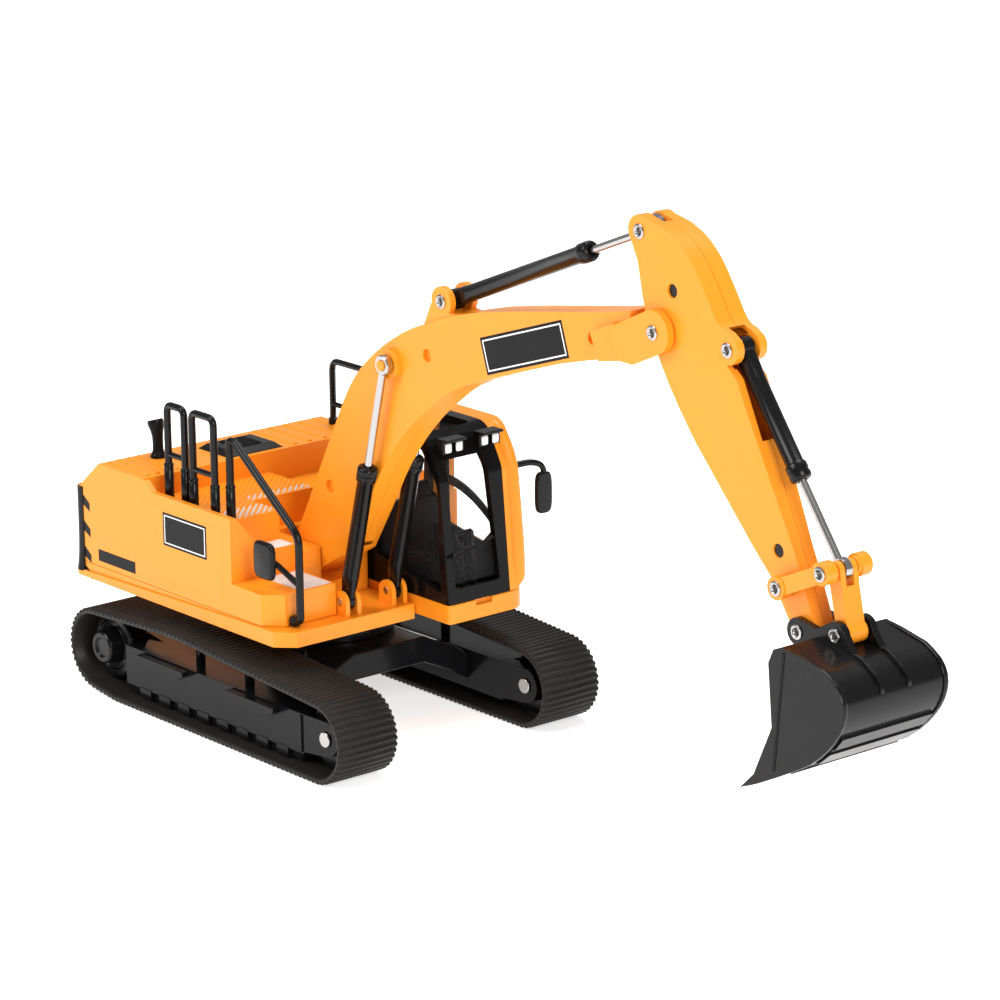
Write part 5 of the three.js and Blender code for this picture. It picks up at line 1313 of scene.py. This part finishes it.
def barrel(name):
    """A cylinder barrel: a flat eye that swells into a round tube, with a stepped collar at its mouth."""
    base, _, axis = cylinder_line(name)
    reach = CYLINDERS[name][2]
    radius, collar, neck = BARREL["radius"], BARREL["collar"], BARREL["neck"]
    low, high = box(cylinder_nodes(name)[0])
    half = 1.0 if name.startswith("lift") else min(2.1, (high[1] - low[1]) / 2)
    stations = [
        (1.6, 2.3, half * 0.9, 5), (3.0, 2.35, half * 0.95, 5), (5.5, 2.4, half * 0.5 + 1.1, 3.5),
        (neck, radius, radius, 2.2), (neck + 1.5, radius, radius, 2),
    ]
    lip = reach - BARREL["collar_length"]
    profile = [
        (neck + 1.0, 0.0), (neck + 1.0, radius), (lip - 0.4, radius),
        (lip, collar - 0.2), (lip + 0.25, collar), (lip + 1.9, collar),
        (lip + 2.05, collar - 0.22), (lip + 2.35, collar - 0.22), (lip + 2.5, collar),
        (reach - 0.9, collar), (reach - 0.35, collar - 0.2), (reach, collar - 0.75), (reach, 1.45),
        (reach - 0.5, 1.2), (reach - 2.0, 1.18), (reach - 2.0, 0.0),
    ]
    return joined(
        eye_ring(base, half, BARREL["eye"], 1.3),
        loft(base, axis, ALONG_Y, stations, 32),
        lathe(base, axis, profile, 40),
    )


def rod(name):
    """A plated rod: a straight bar out of the barrel, and a ring about the pin at its end."""
    base, eye, axis = cylinder_line(name)
    node = cylinder_nodes(name)[1]
    low, high = box(node)
    reach = np.linalg.norm(eye - base)
    inside = CYLINDERS[name][2] * ROD["hidden_share"]
    outer, inner = CYLINDERS[name][3:]
    end = reach - (outer + inner) / 2
    profile = [(inside, 0.0), (inside, ROD["radius"]), (end, ROD["radius"]), (end, 0.0)]
    return joined(lathe(base, axis, profile, 32), eye_ring(eye, (high[1] - low[1]) / 2, outer, inner))


class EXCAVATOR_OT_cylinders(bpy.types.Operator):
    """Make the cylinders' barrels and rods"""

    bl_idname = "excavator.cylinders"
    bl_label = "Cylinders"

    def execute(self, context):
        for name in CYLINDERS:
            surfaces = (barrel(name), finish("black")), (rod(name), finish("steel"))
            for node, (surface, material) in zip(cylinder_nodes(name), surfaces):
                piece(f"{node}_turned", surface, material, body_of(node), [node],
                      smooth_angle=40.0)
        return {"FINISHED"}


class EXCAVATOR_OT_pins(bpy.types.Operator):
    """Make the dished pins of the linkage"""

    bl_idname = "excavator.pins"
    bl_label = "Pins"

    def execute(self, context):
        for node in PINS:
            surface = dished_pin(node)
            piece(f"{node}_turned", surface, finish("steel"), body_of(node), [node])
        for side, outward in SIDES.items():
            node = f"rocker_{side}"
            piece(f"{node}_rivet", rivet(node, outward), finish("steel"), "rocker")
        return {"FINISHED"}


def rivet(node, outward):
    """The dished head of the rivet in a rocker's eye, turned about Y, with its shank in the eye."""
    eye = pivot("bucket_rod_tilt")
    rise = 0.55
    profile = [
        (-1.6, 0.0), (-1.6, 1.0), (0.02, 1.0), (0.02, 1.9), (0.12, 2.0), (rise - 0.2, 2.0),
        (rise, 1.6), (rise, 1.35), (rise - 0.3, 1.1), (-1.0, 0.9), (-1.1, 0.3), (-1.1, 0.0),
    ]
    return lathe([eye[0], side_face(node, outward), eye[2]], ALONG_Y * outward, profile, 32)


def dished_pin(node):
    """A pin with two heads, turned about Y: each head is a low dome with a dish at its middle."""
    low, high = box(node)
    centre = (low + high) / 2
    head = (high[2] - low[2]) / 2
    depth, shank = 0.45, 1.2
    dish = sizes().pin_dish
    half = (high[1] - low[1]) / 2
    end = [
        (half - depth, shank),
        (half - depth, head - 0.1),
        (half - depth + 0.1, head),
        (half - 0.2, head),
        (half - 0.05, head - 0.25),
        (half, head - 0.6),
        (half - 0.05, head - 0.75),
        (half - 0.3, head - 0.95),
        (half - dish, head - 1.1),
        (half - dish - 0.1, 0.3),
        (half - dish - 0.1, 0.0),
    ]
    profile = [(-a, r) for a, r in reversed(end)] + end
    return lathe(centre, ALONG_Y, profile)


# ---------------------------------------------------------------- stage

CAMERA = {"azimuth": 50.46, "elevation": 15.75, "roll": -0.64, "distance": 1200.0, "lens": 155.53,
          "target": (79.27, 0.0, 79.12)}
# Each light: its place from the target, its size and its power in watts. Stage lengths are in metres.
LIGHTS = {
    "key": ((-0.35, -1.1, 1.0), 0.7, 14.0),
    "fill": ((1.4, -0.4, 0.7), 0.6, 14.0),
    "top": ((-0.1, 0.4, 1.4), 0.9, 13.0),
}
WORLD_STRENGTH = 0.38
FLOOR = {"half": 12.0, "below": 0.0002, "roughness": 0.9, "glow": 0.6}
WHITE = (1.0, 1.0, 1.0, 1.0)


class EXCAVATOR_OT_stage(bpy.types.Operator):
    """Make the floor, the soft lights and the camera"""

    bl_idname = "excavator.stage"
    bl_label = "Stage"

    def execute(self, context):
        scene = context.scene
        add_floor()
        add_world(scene)
        target = Vector((SLEW[0], 0.0, 0.0)) * MM + Vector(CAMERA["target"]) * MM
        for name, (offset, size, power) in LIGHTS.items():
            add_soft_light(name, offset, target, size, power)
        scene.camera = add_camera(target)
        scene.view_settings.view_transform = "Standard"
        return {"FINISHED"}


def add_floor():
    """A wide flat sheet just under the belts, with a faint even light of its own."""
    mesh = bpy.data.meshes.new("floor")
    half = FLOOR["half"]
    corners = [(-half, -half, 0), (half, -half, 0), (half, half, 0), (-half, half, 0)]
    mesh.from_pydata(corners, [], [(0, 1, 2, 3)])
    floor = placed("floor", mesh)
    floor.location.z = -FLOOR["below"]
    material, nodes, shader = new_material("Pale floor")
    nodes.feed(shader, {
        "Base Color": (*colours().floor, 1.0),
        "Roughness": FLOOR["roughness"],
        "Specular IOR Level": 0.0,
        "Emission Color": WHITE,
        "Emission Strength": FLOOR["glow"],
    })
    mesh.materials.append(material)


def add_world(scene):
    """An even white surrounding."""
    world = bpy.data.worlds.new("Studio")
    scene.world = world
    world.use_nodes = True
    background = world.node_tree.nodes["Background"]
    Nodes(world.node_tree).feed(background, {"Color": WHITE, "Strength": WORLD_STRENGTH})


def add_soft_light(name, offset, target, size, power):
    """A square lamp at a place from the target, turned to it."""
    light = bpy.data.lights.new(name, "AREA")
    light.size = size
    light.energy = power
    item = placed(name, light)
    item.location = target + Vector(offset)
    item.rotation_mode = "QUATERNION"
    item.rotation_quaternion = (target - item.location).to_track_quat("-Z", "Y")


def add_camera(target):
    """A long lens whose back direction is (sin a cos e, -cos a cos e, sin e), rolled about itself."""
    camera = bpy.data.cameras.new("camera")
    camera.lens = CAMERA["lens"]
    camera.sensor_width = 36.0
    camera.clip_start, camera.clip_end = 0.05, 20.0
    item = placed("camera", camera)
    a, e = math.radians(CAMERA["azimuth"]), math.radians(CAMERA["elevation"])
    back = Vector((math.sin(a) * math.cos(e), -math.cos(a) * math.cos(e), math.sin(e)))
    right = Vector((math.cos(a), math.sin(a), 0.0))
    up = back.cross(right)
    r = math.radians(CAMERA["roll"])
    right, up = math.cos(r) * right + math.sin(r) * up, math.cos(r) * up - math.sin(r) * right
    turn = Matrix((right, up, back)).transposed()
    item.matrix_world = Matrix.Translation(target + back * CAMERA["distance"] * MM) @ turn.to_4x4()
    return item


# ---------------------------------------------------------------- add-on


class EXCAVATOR_PT_panel(bpy.types.Panel):
    """Lists the excavator's sizes, colours and operators"""

    bl_idname = "EXCAVATOR_PT_panel"
    bl_label = "Toy excavator"
    bl_space_type = "VIEW_3D"
    bl_region_type = "UI"
    bl_category = "Excavator"

    def draw(self, context):
        for group in (context.scene.excavator_sizes, context.scene.excavator_colours):
            column = self.layout.column(align=True)
            for name in group.__annotations__:
                column.prop(group, name)
        for operator in OPERATORS:
            self.layout.operator(operator.bl_idname)


OPERATORS = (
    EXCAVATOR_OT_stage,
    EXCAVATOR_OT_belts,
    EXCAVATOR_OT_undercarriage,
    EXCAVATOR_OT_house,
    EXCAVATOR_OT_house_details,
    EXCAVATOR_OT_rails,
    EXCAVATOR_OT_cab,
    EXCAVATOR_OT_front_end,
    EXCAVATOR_OT_bucket,
    EXCAVATOR_OT_cylinders,
    EXCAVATOR_OT_pins,
)
CLASSES = (ExcavatorSizes, ExcavatorColours, *OPERATORS, EXCAVATOR_PT_panel)


def register():
    """Adds the classes and the two groups of settings."""
    for each in CLASSES:
        bpy.utils.register_class(each)
    bpy.types.Scene.excavator_sizes = PointerProperty(type=ExcavatorSizes)
    bpy.types.Scene.excavator_colours = PointerProperty(type=ExcavatorColours)


def unregister():
    """Takes them away again."""
    del bpy.types.Scene.excavator_colours
    del bpy.types.Scene.excavator_sizes
    for each in reversed(CLASSES):
        bpy.utils.unregister_class(each)


def main():
    """Adds the classes, then runs the operators in order."""
    register()
    for operator in OPERATORS:
        group, name = operator.bl_idname.split(".")
        getattr(getattr(bpy.ops, group), name)()


if __name__ == "__main__":
    main()
